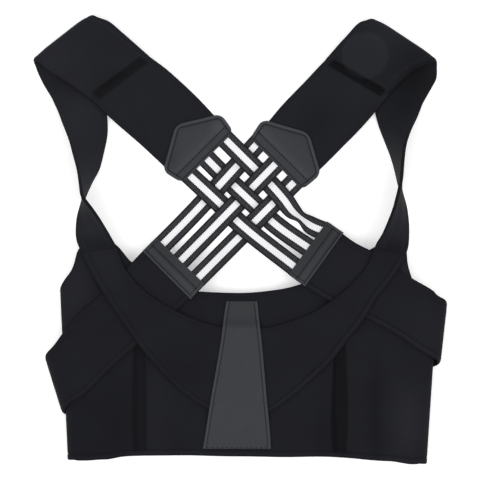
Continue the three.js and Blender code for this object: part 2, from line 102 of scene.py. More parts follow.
# The plait of the elastic, and how cloth beyond the band's upper edge sinks to the floor
ELASTIC_WIDTH = 21
WEAVE_RISE = 1.1
CROSSING_FLAT = 11.9
CROSSING_END = 15.7
EDGE_Y = -58.6
EDGE_BEND = 0.00245
DROP = 62
STRAP_REST_Z = BACK_STRAP_Z + 1.3

# How far the corners of folds turn in, at a strip's near and far edge, and over how many times that
WRAP_CORNERS = (2, 2)
FOLD_CORNERS = {"left": (1.6, 3.6), "right": (2.2, 4.2)}
CORNER_REACH = 4.0

# Stitch rows: distance from the edge, and how far they stay off a strip's ends and the floor
EDGE_ROW = 2.2
NARROW_ROW = 4.2
HEM_ROW = 6.5
SECOND_ROW = 9.5
SEAM_SKIP = 3.0
FLOOR_CLEARANCE = 0.6

# The sewn channel where shoulder strap and back strap meet: its half width on each strap, how far its
# walls reach in and out from there, and how far from the straps' edges it runs out
PAD_CHANNEL = {"left": 5.2, "right": 4.2}
BACK_CHANNEL = 8.4
CHANNEL_IN = 1
CHANNEL_OUT = 1.5
CHANNEL_ENDS = (4.5, 8)

# The faint round pad on the right shoulder: its middle, and the radii between which it falls off
DISC_MIDDLE = (137.5, 203)
DISC_EDGE = (24, 27)

# What each face of a casing loses where it is tucked under the yoke
TUCKED_PLAY = 0.05
TUCKED_LOSS = (CASING_WALL - GAP) / 2 + TUCKED_PLAY

# Tones, which carry painted light and shade: 0 is the plain colour, above it lighter, below it darker
DARKEST = 1.5
BAND_HEM_LIGHT = 0.2
HEM_LIGHT = {"left": 0.15, "right": 0.4}
TIP_DARK = {"left": 0.35, "right": 0.85}
CASING_PAINTED_SHADE = {"left": -0.55, "right": -0.85}
CHANNEL_PAINTED_SHADE = {"left": 0.8, "right": 1.1}

# Heights between which the lie of the back sets in, and distances below the middle where its dents do
BACK_LAYERS = (13.0, 15.5)
BELOW_YOKE = (95, 150)

# Height at which the picture is as wide as the view width
SHARP_PLANE = 7.0

# Places across and along a strip that every edge gets, so that it can be round and hold stitch rows
EDGE_PLACES = np.array([0, 0.1, 0.4, 0.9, 1.5, 2.2, 3.0, 3.8, 4.6, 5.4, 6.2, 7.0, 7.8, 8.8, 10.0])

SECTION_KEYS = "x y z width aim lean fold slide_in slide_out grow_out bend"
Section = namedtuple("Section", SECTION_KEYS, defaults=(0, 0, 0, 0, 0, 0))
Knot = namedtuple("Knot", "x y rise lean", defaults=(0, 0))
PaintedShade = namedtuple("PaintedShade", "x y reach_x reach_y tone")
Dent = namedtuple("Dent", "x spread depth")

# Dents in the back beside the casings
DENTS = [Dent(147, 6, 1.5), Dent(-152, 9, 0.9)]

# Sizes of stitches that the geometry nodes take
STITCH_SIZES = ("Pitch", "Stitch length", "Thread radius")


def across(from_x, from_y, to_x, to_y, z, **fold):
    """A section across a strip, given by the two ends of its line."""
    dx = to_x - from_x
    dy = to_y - from_y
    aim = math.degrees(math.atan2(dy, dx))
    return Section((from_x + to_x) / 2, (from_y + to_y) / 2, z, math.hypot(dx, dy), aim, **fold)


# Sections, each as across(from x, from y, to x, to y, height)
BAND_ROWS = [
    across(35, -233, 35, -69, LAP_Z),
    across(-45, -233, -45, -69, LAP_Z),
    across(-92, -234, -92, -68, FRONT_Z),
    across(-162, -238, -166, -63, FRONT_Z),
    across(-188, -241.5, -196.5, -55, BACK_Z, fold=-BAND_FOLD, grow_out=14),
    across(-179, -242, -187, -36.5, BACK_Z),
    across(-172, -242, -182, -26, BACK_Z),
    across(-166, -242, -178.5, -12, BACK_Z),
    across(-150, -241, -165, -1, BACK_Z),
    across(-136, -239, -140, -3, BACK_Z),
    across(-117, -237, -118, -25, BACK_Z),
    across(-88, -236.6, -88, -40, BACK_Z),
    across(-44, -236.6, -44, -56.4, BACK_Z),
    across(0, -237.5, 0, -58, BACK_Z),
    across(44, -238.2, 44, -54, BACK_Z),
    across(88, -237.8, 88, -40, BACK_Z),
    across(123, -239.6, 123, -21, BACK_Z),
    across(145, -241.8, 147, -8, BACK_Z),
    across(160, -242.6, 162, 0, BACK_Z),
    across(174, -244, 181, -4, BACK_Z),
    across(186, -246, 184.8, -30, BACK_Z),
    across(194, -246, 194.5, -58, BACK_Z),
    across(204, -246, 215, -79, FRONT_Z, fold=BAND_FOLD),
    across(178, -240, 184, -76, FRONT_Z),
    across(92, -234, 92, -69, FRONT_Z),
    across(-35, -233, -35, -69, FRONT_Z),
]
HOOK_ROWS = [
    across(-30, -225, -30, -77, HOOK_Z),
    across(30, -225, 30, -77, HOOK_Z),
]
WRAP_ROWS = {
    "left": [
        across(-47, -57, -103, -8, STRAP_Z),
        across(-68, -76, -118, -24, STRAP_Z),
        across(-82, -88, -130, -37, STRAP_Z),
        across(-112, -114, -150, -58, STRAP_Z),
        across(-145, -144, -175, -79, STRAP_Z),
        across(-170, -169, -191, -98, STRAP_Z),
        across(-194.5, -190, -213.7, -128.3, FRONT_STRAP_Z, fold=WRAP_FOLD, slide_in=0.5, slide_out=0.44),
        across(-165, -195, -176, -132, FRONT_STRAP_Z),
        across(-99, -204, -105, -140, FRONT_STRAP_Z),
        across(-9, -211, -10, -151, FRONT_STRAP_Z),
    ],
    "right": [
        across(61, -44, 104.3, 13.3, STRAP_Z),
        across(82, -58, 127, -3.2, STRAP_Z),
        across(101, -69, 150, -15, STRAP_Z),
        across(121, -78, 169, -30, STRAP_Z),
        across(141, -87, 187, -41, STRAP_Z),
        across(178, -108, 209.5, -54, STRAP_Z),
        across(219.6, -135, 227, -68, FRONT_STRAP_Z, fold=WRAP_FOLD, slide_in=0.36, slide_out=0.49),
        across(187, -150, 196, -86, FRONT_STRAP_Z),
        across(110, -182, 112, -118, FRONT_STRAP_Z),
        across(10, -211, 9, -151, FRONT_STRAP_Z),
    ],
}
YOKE_ROWS = {
    "left": [
        across(-173, -12.5, -134.5, -7.5, YOKE_Z + SEAM_LAP),
        across(-172, -18, -134, -11, YOKE_Z + SEAM_LAP),
        across(-164, -34, -131, -19, YOKE_Z),
        across(-155, -50, -128, -28, YOKE_HIGH_Z),
        across(-132, -86, -101, -58, YOKE_HIGH_Z),
        across(-106, -122, -65, -80, YOKE_HIGH_Z),
        across(-91, -140, -51, -86, YOKE_Z),
        across(-66, -165, -33, -92, YOKE_Z),
        across(-37, -185, -20, -95, YOKE_Z),
        across(-20, -191, -7, -96, YOKE_Z),
    ],
    "right": [
        across(182, -17, 147.5, -9, YOKE_HIGH_Z + SEAM_LAP),
        across(180, -21, 146, -12, YOKE_HIGH_Z + SEAM_LAP),
        across(167, -42, 139, -28, YOKE_HIGH_Z),
        across(154, -58, 123, -47, YOKE_HIGH_Z),
        across(133, -91, 92, -72, YOKE_HIGH_Z),
        across(120, -107, 78, -80, YOKE_Z),
        across(100, -133, 61, -87, YOKE_Z),
        across(77, -155, 45, -92, YOKE_Z),
        across(53, -175, 33, -95, YOKE_Z),
        across(32, -189, 24, -96, YOKE_Z),
        across(16, -194, 9, -97, YOKE_Z),
    ],
}
CENTRE_PATCH_ROWS = [
    across(-15, -67, 19, -67, PATCH_LOW_Z),
    across(-18, -86, 21, -86, PATCH_LOW_Z),
    across(-19, -95, 22, -95, PATCH_HIGH_Z),
    across(-33, -180, 30, -180, PATCH_HIGH_Z),
    across(-38, -212, 33, -212, PATCH_LOW_Z),
    across(-41, -229, 34, -229, PATCH_LOW_Z),
]
CASING_ROWS = {
    "left": [
        across(-117, -106, -104, -118, BACK_TOP + GAP / 2),
        across(-117, -118, -104, -130, BACK_TOP + GAP / 2),
        across(-117, -126, -104, -138, CASING_Z),
        across(-117, -231, -104, -231, CASING_Z),
    ],
    "right": [
        across(102, -128, 116, -108, BACK_TOP + GAP / 2),
        across(102, -138, 116, -118, BACK_TOP + GAP / 2),
        across(102, -146, 116, -126, CASING_Z),
        across(102, -232, 116, -233, CASING_Z),
    ],
}
BACK_STRAP_ROWS = {
    "left": [
        across(-167.1, 157.3, -101.9, 203.4, PAD_SEAM_Z),
        across(-136, 128.1, -75.6, 183.4, BACK_STRAP_RISE_Z),
        across(-107.2, 103, -48, 158, BACK_STRAP_Z),
        across(-75.6, 73.4, -21, 129, BACK_STRAP_Z),
    ],
    "right": [
        across(166.3, 162.7, 95.9, 200, PAD_SEAM_Z),
        across(134.6, 124.5, 72.5, 175.4, BACK_STRAP_RISE_Z),
        across(107.9, 97.2, 49.3, 151.7, BACK_STRAP_Z),
        across(77.2, 66.9, 22, 119, BACK_STRAP_Z),
    ],
}
TIP_ROWS = {
    "left": [
        across(-54, -65, -107, -12, TIP_Z),
        across(-39, -48, -92.4, 2.7, TIP_Z),
    ],
    "right": [
        across(71, -51, 114, 8, TIP_Z),
        across(53, -38, 96, 20.5, TIP_Z),
    ],
}

# Sections of the shoulder straps: x, y, z, width, aim of the line towards the neck, its lean,
# and for a fold its radius, slide in and slide out
SHOULDER_ROWS = {
    "left": [
        Section(-132.1, 178.6, PAD_SEAM_Z, 80, 36),
        Section(-163.5, 203.4, FOLD_TOP, 83.3, 39),
        Section(-177.1, 213.3, FOLD_TOP, 86, 38.5),
        Section(-195.2, 223, PAD_LOW_Z, 80.6, 38, 0, SHOULDER_FOLD, 0.38, 0.31),
        Section(-184, 190.5, PAD_LOW_Z, 75.2, 28),
        Section(-175.1, 164.6, 4.5, 65.3, 22, -4),
        Section(-172.1, 142.3, 9.5, 54.3, 17, -14),
        Section(-166, 106.5, 16.8, 48.3, 11, -37),
        Section(-166, 81.5, 20.4, 42, 5, -54),
        Section(-169.5, 61.5, 22.4, 40, 2, -76),
        Section(-171.5, 47, 23.2, 40, 0, -90),
        Section(-169.1, 36.5, 25, 40, -2, -107.5),
        Section(-165, 20, 26.2, 40, -4, -136),
        Section(-159.5, 0, 22, 41.6, 1, -164),
        Section(-153.7, -12.8, YOKE_Z - SEAM_LAP, 38.6, 10.4, -180),
        Section(-152.2, -18, YOKE_Z - SEAM_LAP, 38.6, 10.4, -180),
    ],
    "right": [
        Section(128.5, 179.1, PAD_SEAM_Z, 79.1, 151),
        Section(148.9, 200.9, FOLD_TOP, 79.4, 146),
        Section(164.9, 214.6, FOLD_TOP, 83.2, 143.5),
        Section(180.8, 220.9, PAD_LOW_Z, 84, 146.5, 0, SHOULDER_FOLD, 0.47, 0.6),
        Section(184, 196, PAD_LOW_Z, 74, 151),
        Section(180.6, 182.7, PAD_LOW_Z, 68.2, 155),
        Section(173, 155, 5, 56, 160, -6),
        Section(169.4, 124, 18.4, 47, 166, -41),
        Section(170.6, 107.5, 22, 44, 173, -61),
        Section(173.1, 88, 22.8, 41, 178, -76),
        Section(175.1, 62, 23.2, 40, 180, -90),
        Section(175.3, 38, 25.7, 39, 180, -110),
        Section(173.4, 21.5, 29, 38, 180, -126),
        Section(170, 4, 27, 36, 176, -148),
        Section(164.4, -12.8, YOKE_HIGH_Z - SEAM_LAP, 35.2, 166, -180),
        Section(162, -19, YOKE_HIGH_Z - SEAM_LAP, 35, 165.2, -180),
    ],
}

# Corners of the five-sided patches; the first two end the edge that the elastic leaves
CROSS_PATCH_CORNERS = {
    "left": [(-63.7, 62.6), (-6.9, 119.2), (-21, 139), (-71, 127), (-85, 75.8)],
    "right": [(11, 112), (68.5, 55), (89.3, 72.5), (76, 118), (24.5, 133)],
}
CROSS_PATCH_CORNER = 7.0

# Middle lines of the elastic bands, each knot as x, y, height over the plait, lean
ELASTIC_PATHS = {
    "falling": [
        [
            Knot(-24, 119),
            Knot(3, 92),
            Knot(34, 61),
            Knot(48, 45),
            Knot(59, 31, 4, 30),
            Knot(67, 25, 8.5, 55),
            Knot(79, 15.6, 2.2, 16),
            Knot(97, 8),
        ],
        [Knot(-45, 98), Knot(-16, 69), Knot(18, 37), Knot(38, 18), Knot(83, -14)],
        [Knot(-64, 79), Knot(-20, 38), Knot(0, 18), Knot(67, -35)],
    ],
    "rising": [
        [Knot(-92, -12), Knot(-52.5, 28.3), Knot(-22, 61), Knot(26, 114)],
        [Knot(-72, -30), Knot(48, 93)],
        [Knot(-53, -49), Knot(68, 72)],
    ],
}

# Painted light and shade where the pieces lie: soft painted highlights (tone above 0) and painted shade
# (below 0), by node: x, y, reach in x and y, tone
PAINTED_SHADES = {
    "waist_band": [
        PaintedShade(-137, -198, 22, 60, -0.4),
        PaintedShade(-176, -209, 20, 50, -0.25),
        PaintedShade(-93, -198, 14, 50, 0.2),
        PaintedShade(93, -209, 12, 45, -0.3),
        PaintedShade(148, -198, 8, 55, -0.4),
        PaintedShade(185, -200, 18, 40, 0.85),
        PaintedShade(-181, -52, 18, 40, 0.6),
        PaintedShade(183, -33, 12, 22, 1.0),
    ],
    "yoke_left": [PaintedShade(-148, -24, 22, 26, 0.4), PaintedShade(-66, -143, 40, 30, -0.2)],
    "wrap_strap_left": [PaintedShade(-88, -38, 30, 30, 0.2)],
    "wrap_strap_right": [PaintedShade(115, -22, 30, 30, 0.25), PaintedShade(202, -100, 24, 30, 0.3)],
    "shoulder_strap_left": [
        PaintedShade(-203, 203, 22, 22, 0.4),
        PaintedShade(-132, 168, 26, 14, -0.45),
        PaintedShade(-180, 128, 30, 40, 0.5),
        PaintedShade(-173, 72, 20, 22, 0.4),
        PaintedShade(-170, 39, 12, 9, -0.3),
        PaintedShade(-164, 13, 14, 12, 0.25),
        PaintedShade(-157, -4, 24, 9, -0.4),
    ],
    "shoulder_strap_right": [
        PaintedShade(160, 229, 25, 14, 0.4),
        PaintedShade(198, 181, 22, 22, -0.7),
        PaintedShade(181, 148, 22, 25, -0.55),
        PaintedShade(166, -9, 24, 10, -0.65),
    ],
    "back_strap_right": [PaintedShade(88, 132, 24, 20, -0.35)],
    "cross_patch_left": [PaintedShade(-25, 126, 8, 9, 1.1), PaintedShade(-75, 90, 6, 16, -0.6)],
    "cross_patch_right": [PaintedShade(30, 121, 10, 12, 0.3), PaintedShade(70, 70, 9, 12, 0.25)],
}

# The solids' origin is under the middle of the outline, so the tables are shifted by where the patch lies
PATCH_MIDDLE = Vector((-3.5, -148, 0)) * MM
SHIFT = sum(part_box("centre_patch"), Vector()) / 2 - PATCH_MIDDLE
SHIFT.z = 0


def smoothstep(value, low, high):
    """0 below low, 1 above high, smooth between."""
    s = np.clip((value - low) / (high - low), 0, 1)
    return s * s * (3 - 2 * s)


def within(value, low, high):
    """1 below low, 0 above high, smooth between."""
    return 1 - smoothstep(value, low, high)


def bell(distance, spread):
    """1 at distance 0, falling off over spread."""
    return np.exp(-((distance / spread) ** 2))


def round_edge(distance, wall):
    """How full a wall with a round edge is at a distance from that edge: 0 on it, 1 inside."""
    return np.sqrt(1 - (1 - np.clip(distance / (wall / 2), 0, 1)) ** 2)


def smooth_column(at, values):
    """Monotone cubic through (at, values): smooth, and never past the values it is given."""
    rise = np.diff(values) / np.diff(at)
    slope = np.concatenate([rise[:1], np.zeros(len(rise) - 1), rise[-1:]])
    before, after = rise[:-1], rise[1:]
    same_way = before * after > 0
    total = np.where(same_way, before + after, 1)
    slope[1:-1] = np.where(same_way, 2 * before * after / total, 0)

    def value_at(t):
        i = np.clip(np.searchsorted(at, t) - 1, 0, len(rise) - 1)
        span = at[i + 1] - at[i]
        s = (t - at[i]) / span
        blend = smoothstep(s, 0, 1)
        start = s * (1 - s) ** 2 * span
        end = s * s * (s - 1) * span
        return values[i] + (values[i + 1] - values[i]) * blend + slope[i] * start + slope[i + 1] * end

    return value_at


def soften(values, spacing, reach):
    """Averages evenly spaced values over about reach, with both ends kept."""
    half = int(3 * reach / spacing)
    weights = bell(np.arange(-half, half + 1) * spacing, reach * math.sqrt(2))
    before = 2 * values[0] - values[half:0:-1]
    after = 2 * values[-1] - values[-2:-half - 2:-1]
    return np.convolve(np.concatenate([before, values, after]), weights / weights.sum(), "valid")


def open_folds(rows):
    """Turns each fold row into a half circle: its line is the outermost one, and z the height it ends at.

    slide_in and slide_out move the line along itself round the fold, grow_out lengthens its far end.
    """
    opened = []
    for i, row in enumerate(rows):
        if not row.fold:
            opened.append(row)
            continue
        aim = math.radians(row.aim)
        line = Vector((math.cos(aim), math.sin(aim)))
        outward = Vector((-line.y, line.x))
        to_before = Vector((rows[i - 1].x - row.x, rows[i - 1].y - row.y))
        if outward.dot(to_before) > 0:
            outward.negate()
        for degrees in range(90, -91, -15):
            turn = math.radians(degrees)
            slide = row.slide_in if turn > 0 else row.slide_out
            inset = abs(row.fold) * (math.cos(turn) - 1)
            grown = row.grow_out * max(0, -degrees) / 90
            place = Vector((row.x, row.y)) + outward * inset
            place += line * (abs(row.fold) * turn * slide + grown / 2)
            height = row.z + row.fold * (1 + math.sin(turn))
            bend = math.cos(turn) * (1 if outward.dot(Vector((-line.y, line.x))) > 0 else -1)
            opened.append(row._replace(x=place.x, y=place.y, z=height, width=row.width + grown, bend=bend))
    return opened


def places(length, step):
    """Distances along a length: close together near both ends, and about step apart between."""
    close = EDGE_PLACES[EDGE_PLACES < length / 2 - step / 2]
    count = max(1, round((length - 2 * close[-1]) / step))
    middle = np.linspace(close[-1], length - close[-1], count + 1)
    return np.concatenate([close[:-1], middle, length - close[-2::-1]])


def place_at(inset, distances, points):
    """The place on a line of points that lies inset from an edge, by the points' distances to that edge."""
    order = np.argsort(distances)
    return np.array([np.interp(inset, distances[order], points[order, k]) for k in range(3)])


class Strip:
    """Cloth laid through sections: a grid of points, and each point's distance to the four edges.

    step is the distance between points, lift and lie are functions that raise them, reach is how far
    the sections are averaged, flip turns the upper face over, and corners round the corners of folds.
    """

    SPACING = 0.5

    def __init__(self, rows, step, lift=None, lie=None, reach=2.0, flip=False, corners=(0, 0)):
        sections = open_folds(rows)
        centres = np.array([(s.x, s.y, s.z) for s in sections])
        at = np.concatenate([[0], np.cumsum(np.linalg.norm(np.diff(centres, axis=0), axis=1))])
        self.length = at[-1]
        self.width = max(s.width for s in sections)
        dense = np.linspace(0, self.length, int(self.length / self.SPACING) + 2)
        t = places(self.length, step)
        column = {}
        for key in ("x", "y", "z", "width", "aim", "lean", "bend"):
            exact = smooth_column(at, np.array([getattr(s, key) for s in sections], float))(dense)
            smooth = soften(exact, dense[1], reach) if self.length > 20 * reach else exact
            column[key] = np.interp(t, dense, smooth)[:, None]
        v = (places(self.width, step) / self.width)[None, :]
        aim = np.radians(column["aim"])
        lean = np.radians(column["lean"])
        side = (v - 0.5) * column["width"]
        x = column["x"] + side * np.cos(lean) * np.cos(aim)
        y = column["y"] + side * np.cos(lean) * np.sin(aim)
        z = column["z"] + side * np.sin(lean)
        self.near = v * column["width"]
        self.far = (1 - v) * column["width"]
        for distance, corner in zip((self.near, self.far), corners):
            corner_share = np.clip(1 - distance / max(CORNER_REACH * corner, GAP), 0, 1)
            inward = corner * column["bend"] * (1 - np.sqrt(1 - corner_share ** 2))
            x = x + inward * np.sin(aim)
            y = y - inward * np.cos(aim)
        if lift:
            z = z + lift(x, y)
        if lie:
            z = z + lie(x, y, z)
        self.points = np.stack([x, y, z], axis=-1)
        self.start = np.repeat(t[:, None], v.shape[1], axis=1)
        self.end = self.length - self.start
        if flip:
            for key in ("points", "near", "far", "start", "end"):
                setattr(self, key, getattr(self, key)[:, ::-1])
        along = np.gradient(self.points, axis=0)
        over = np.gradient(self.points, axis=1)
        normal = np.cross(along, over)
        self.normal = normal / np.linalg.norm(normal, axis=-1, keepdims=True)
        self.upper = self.points

    def sides(self):
        """Distance to the nearer long edge."""
        return np.minimum(self.near, self.far)

    def plan(self):
        """Places seen from above: x and y."""
        return self.points[..., 0], self.points[..., 1]

    def ends(self):
        """Distance to the nearer end."""
        return np.minimum(self.start, self.end)

    def area(self):
        """Area of the middle surface, in square metres."""
        first = self.points[1:, 1:] - self.points[:-1, :-1]
        second = self.points[1:, :-1] - self.points[:-1, 1:]
        return np.linalg.norm(np.cross(first, second), axis=-1).sum() / 2 * MM * MM

    def solid(self, name, wall, top=0.0, bottom=0.0, tone=0.0):
        """A closed mesh of that wall with round edges; top and bottom raise its faces, in mm."""
        edge = np.minimum(self.sides(), self.ends())
        rounding = round_edge(edge, wall)
        self.upper = self.points + self.normal * ((wall / 2 + top) * rounding)[..., None]
        lower = self.points - self.normal * ((wall / 2 + bottom) * rounding)[..., None]
        lay = np.stack([self.start, (self.near - self.far) / 2], axis=-1)
        return closed_mesh(name, self.upper, lower, lay, np.zeros_like(edge) + tone)

    def off_floor(self):
        """0 where the strip lies on the floor, 1 where it lies higher."""
        lying, clear = 2.2, 5
        return smoothstep(self.points[..., 2], lying, clear)

    def seam(self, inset, side="near"):
        """A stitch row on the upper face, inset from a long edge, where that face is off the floor."""
        distance = getattr(self, side)
        lines = np.nonzero(self.ends()[:, 0] >= SEAM_SKIP)[0]
        row = np.array([place_at(inset, distance[i], self.upper[i]) for i in lines])
        return row[row[:, 2] > FLOOR_CLEARANCE]

    def edge_seams(self, *insets):
        """Stitch rows along both long edges."""
        return [self.seam(inset, side) for inset in insets for side in ("near", "far")]

    def cross_seam(self, inset, skip, side="start"):
        """A stitch row on the upper face, across the strip, inset from one end, off its sides by skip."""
        distance = getattr(self, side)[:, 0]
        columns = np.nonzero(self.sides()[0] >= skip)[0]
        return np.array([place_at(inset, distance, self.upper[:, j]) for j in columns])


def closed_mesh(name, upper, lower, lay, tone, rings=False):
    """An object whose upper and lower grids meet at their border.

    With rings, each column is a ring, the first one outermost: only that one is shared,
    and the last is capped.
    """
    rows, columns = upper.shape[:2]
    top = np.arange(rows * columns).reshape(rows, columns)
    border = np.zeros((rows, columns), bool)
    border[:, 0] = True
    if not rings:
        border[:, -1] = True
        border[[0, -1], :] = True
    below = top.copy()
    below[~border] = rows * columns + np.arange((~border).sum())
    faces = []
    for grid, turn in ((top, 1), (below, -1)):
        if rings:
            faces.append(grid[::turn, -1].tolist())
            grid = np.vstack([grid, grid[:1]])
        corners = [grid[:-1, :-1], grid[1:, :-1], grid[1:, 1:], grid[:-1, 1:]]
        faces += np.stack(corners[::turn], axis=-1).reshape(-1, 4).tolist()
    inner = ~border.ravel()
    points = np.concatenate([upper.reshape(-1, 3), lower.reshape(-1, 3)[inner]]) * MM + np.array(SHIFT)
    mesh = bpy.data.meshes.new(name)
    mesh.from_pydata(points.tolist(), [], faces)
    flat = np.concatenate([lay.reshape(-1, 2), lay.reshape(-1, 2)[inner]]) * MM
    tones = np.concatenate([tone.ravel(), tone.ravel()[inner]])
    corner_vertex = np.empty(len(mesh.loops), np.int32)
    mesh.loops.foreach_get("vertex_index", corner_vertex)
    mesh.uv_layers.new(name="lay").data.foreach_set("uv", flat[corner_vertex].ravel())
    mesh.attributes.new("tone", "FLOAT", "POINT").data.foreach_set("value", tones)
    mesh.shade_smooth()
    mesh.validate()
    piece = bpy.data.objects.new(name, mesh)
    bpy.context.scene.collection.objects.link(piece)
    return piece


def dress(piece, finish, slot, *nodes):
    """Gives a finished piece its material and its body, and hides the solids that it stands for."""
    piece.data.materials.clear()
    piece.data.materials.append(finish_named(finish))
    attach(piece, "root")
    if nodes:
        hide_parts(*nodes)
    return piece


def declare_sheet(strip):
    """Works out the size of a strip's flat cut and the area of its middle surface; nothing uses them."""
    flat = (strip.width * MM, strip.length * MM)
    area = min(strip.area(), flat[0] * flat[1])


class Socket:
    """A node's output that takes part in Python expressions; each operation adds a Math node."""

    def __init__(self, finish, output):
        self.finish = finish
        self.output = output

    def __add__(self, other):
        return self.finish.math("ADD", self, other)

    def __sub__(self, other):
        return self.finish.math("SUBTRACT", self, other)

    def __rsub__(self, other):
        return self.finish.math("SUBTRACT", other, self)

    def __mul__(self, other):
        return self.finish.math("MULTIPLY", self, other)

    __radd__ = __add__
    __rmul__ = __mul__


class Finish:
    """A material under construction."""

    SHEEN_ROUGHNESS = 0.45

    def __init__(self, name, roughness, specular=0.5, sheen=0.0):
        self.material = bpy.data.materials.new(name)
        self.material.use_nodes = True
        self.tree = self.material.node_tree
        self.surface = self.tree.nodes["Principled BSDF"]
        self.surface.inputs["Roughness"].default_value = roughness
        self.surface.inputs["Specular IOR Level"].default_value = specular
        self.surface.inputs["Sheen Weight"].default_value = sheen
        self.surface.inputs["Sheen Roughness"].default_value = self.SHEEN_ROUGHNESS

    def node(self, kind, settings=None, inputs=None, output=0):
        """Adds a node: its settings first, then the values or links of its sockets."""
        node = self.tree.nodes.new(kind)
        for key, value in (settings or {}).items():
            setattr(node, key, value)
        for key, value in (inputs or {}).items():
            self.feed(node.inputs[key], value)
        return Socket(self, node.outputs[output])

    def feed(self, target, value):
        """Links a socket, or sets its value."""
        if isinstance(value, Socket):
            self.tree.links.new(value.output, target)
        else:
            target.default_value = value

    def math(self, operation, *values):
        return self.node("ShaderNodeMath", {"operation": operation}, dict(enumerate(values)))

    def wave(self, value, period):
        """A sine of a length, from -1 to 1."""
        return self.math("SINE", value * (math.tau / period))

    def step(self, value, low, high):
        """0 below low, 1 above high, smooth between."""
        inputs = {"Value": value, "From Min": low, "From Max": high}
        return self.node("ShaderNodeMapRange", {"interpolation_type": "SMOOTHSTEP"}, inputs)

    def mix(self, factor, first, second, clamp=True):
        """Mixes two colours; without clamp, a factor above 1 goes beyond the second."""
        settings = {"data_type": "RGBA", "clamp_factor": clamp}
        factor_socket, first_colour, second_colour, colour_result = 0, 6, 7, 2
        inputs = {factor_socket: factor, first_colour: first, second_colour: second}
        return self.node("ShaderNodeMix", settings, inputs, output=colour_result)

    def place(self):
        """Object coordinates, in metres."""
        return self.node("ShaderNodeTexCoord", output="Object")

    def noise(self, size, detail):
        """Noise of that grain size, in metres, from 0 to 1."""
        inputs = {"Vector": self.place(), "Scale": 1 / size, "Detail": detail}
        return self.node("ShaderNodeTexNoise", inputs=inputs)

    def cells(self, size, feature):
        """Distances in a field of cells of that size, in metres."""
        inputs = {"Vector": self.place(), "Scale": 1 / size}
        return self.node("ShaderNodeTexVoronoi", {"feature": feature}, inputs)

    def tone(self):
        """The piece's painted light and shade: above 0 lighter, below 0 darker."""
        return self.node("ShaderNodeAttribute", {"attribute_name": "tone"}, output="Fac")

    def lay(self):
        """Lengths along and across the piece, in metres."""
        flat = self.node("ShaderNodeUVMap", {"uv_map": "lay"})
        return [self.node("ShaderNodeSeparateXYZ", inputs={0: flat}, output=axis) for axis in "XY"]

    def colour(self, value):
        self.feed(self.surface.inputs["Base Color"], value)

    def roughness(self, value):
        self.feed(self.surface.inputs["Roughness"], value)

    def bump(self, height, depth):
        """Raises the surface by height times depth, in metres."""
        inputs = {"Strength": 1.0, "Distance": depth, "Height": height}
        self.feed(self.surface.inputs["Normal"], self.node("ShaderNodeBump", inputs=inputs))


def shade(colour, factor):
    """A colour made lighter or darker."""
    return tuple(min(1.0, channel * factor) for channel in colour[:3]) + (1.0,)


def tint(colour, red, green, blue):
    """A colour with each of its channels scaled."""
    return (colour[0] * red, colour[1] * green, colour[2] * blue, 1.0)


def toned(finish, base, dark, light):
    """A colour that follows the piece's tone, its painted light and shade, and clouds a little at random.
    """
    tone = finish.tone()
    clouds = finish.noise(size=0.03, detail=3.0)
    cloudy = finish.mix(clouds, tint(base, 0.9, 0.84, 0.86), tint(base, 1.1, 1.2, 1.2))
    below = finish.math("MINIMUM", finish.math("MAXIMUM", 0 - tone, 0), DARKEST)
    darker = finish.mix(below, cloudy, dark, clamp=False)
    return finish.mix(finish.math("MAXIMUM", tone, 0), darker, light, clamp=False)


def knit(name, base):
    """Fine jersey: columns of loops over a matt, slightly fuzzy cloth."""
    wale, course = 0.0011, 0.0009
    finish = Finish(name, roughness=0.9, specular=0.08, sheen=0.03)
    along, over = finish.lay()
    column = finish.math("ABSOLUTE", finish.wave(over, 2 * wale))
    loop = finish.wave(along + column * (0.4 * course), course)
    fuzz = finish.noise(size=0.0006, detail=1.0)
    height = column * 0.5 + loop * 0.25 + fuzz * 0.6
    finish.colour(toned(finish, base, shade(base, 0.4), shade(base, 1.7)))
    finish.roughness(0.86 + fuzz * 0.12)
    finish.bump(height, depth=0.00012)
    return finish.material


def leather(name, base):
    """Smooth split leather: small pebbles; where it is turned over an edge it takes a painted highlight
    from the piece's tone.
    """
    pebble, pore = 0.0013, 0.0005
    finish = Finish(name, roughness=0.5, specular=0.35)
    crease = finish.step(finish.cells(pebble, feature="DISTANCE_TO_EDGE"), 0.0, 0.22)
    pores = finish.noise(size=pore, detail=2.0)
    smooth = toned(finish, base, shade(base, 0.55), shade(base, 1.55))
    finish.colour(finish.mix(crease * 0.5 + 0.5, shade(base, 0.62), smooth))
    finish.roughness(0.42 + pores * 0.2 + (1 - crease) * 0.12)
    finish.bump(crease + pores * 0.5, depth=0.00006)
    return finish.material


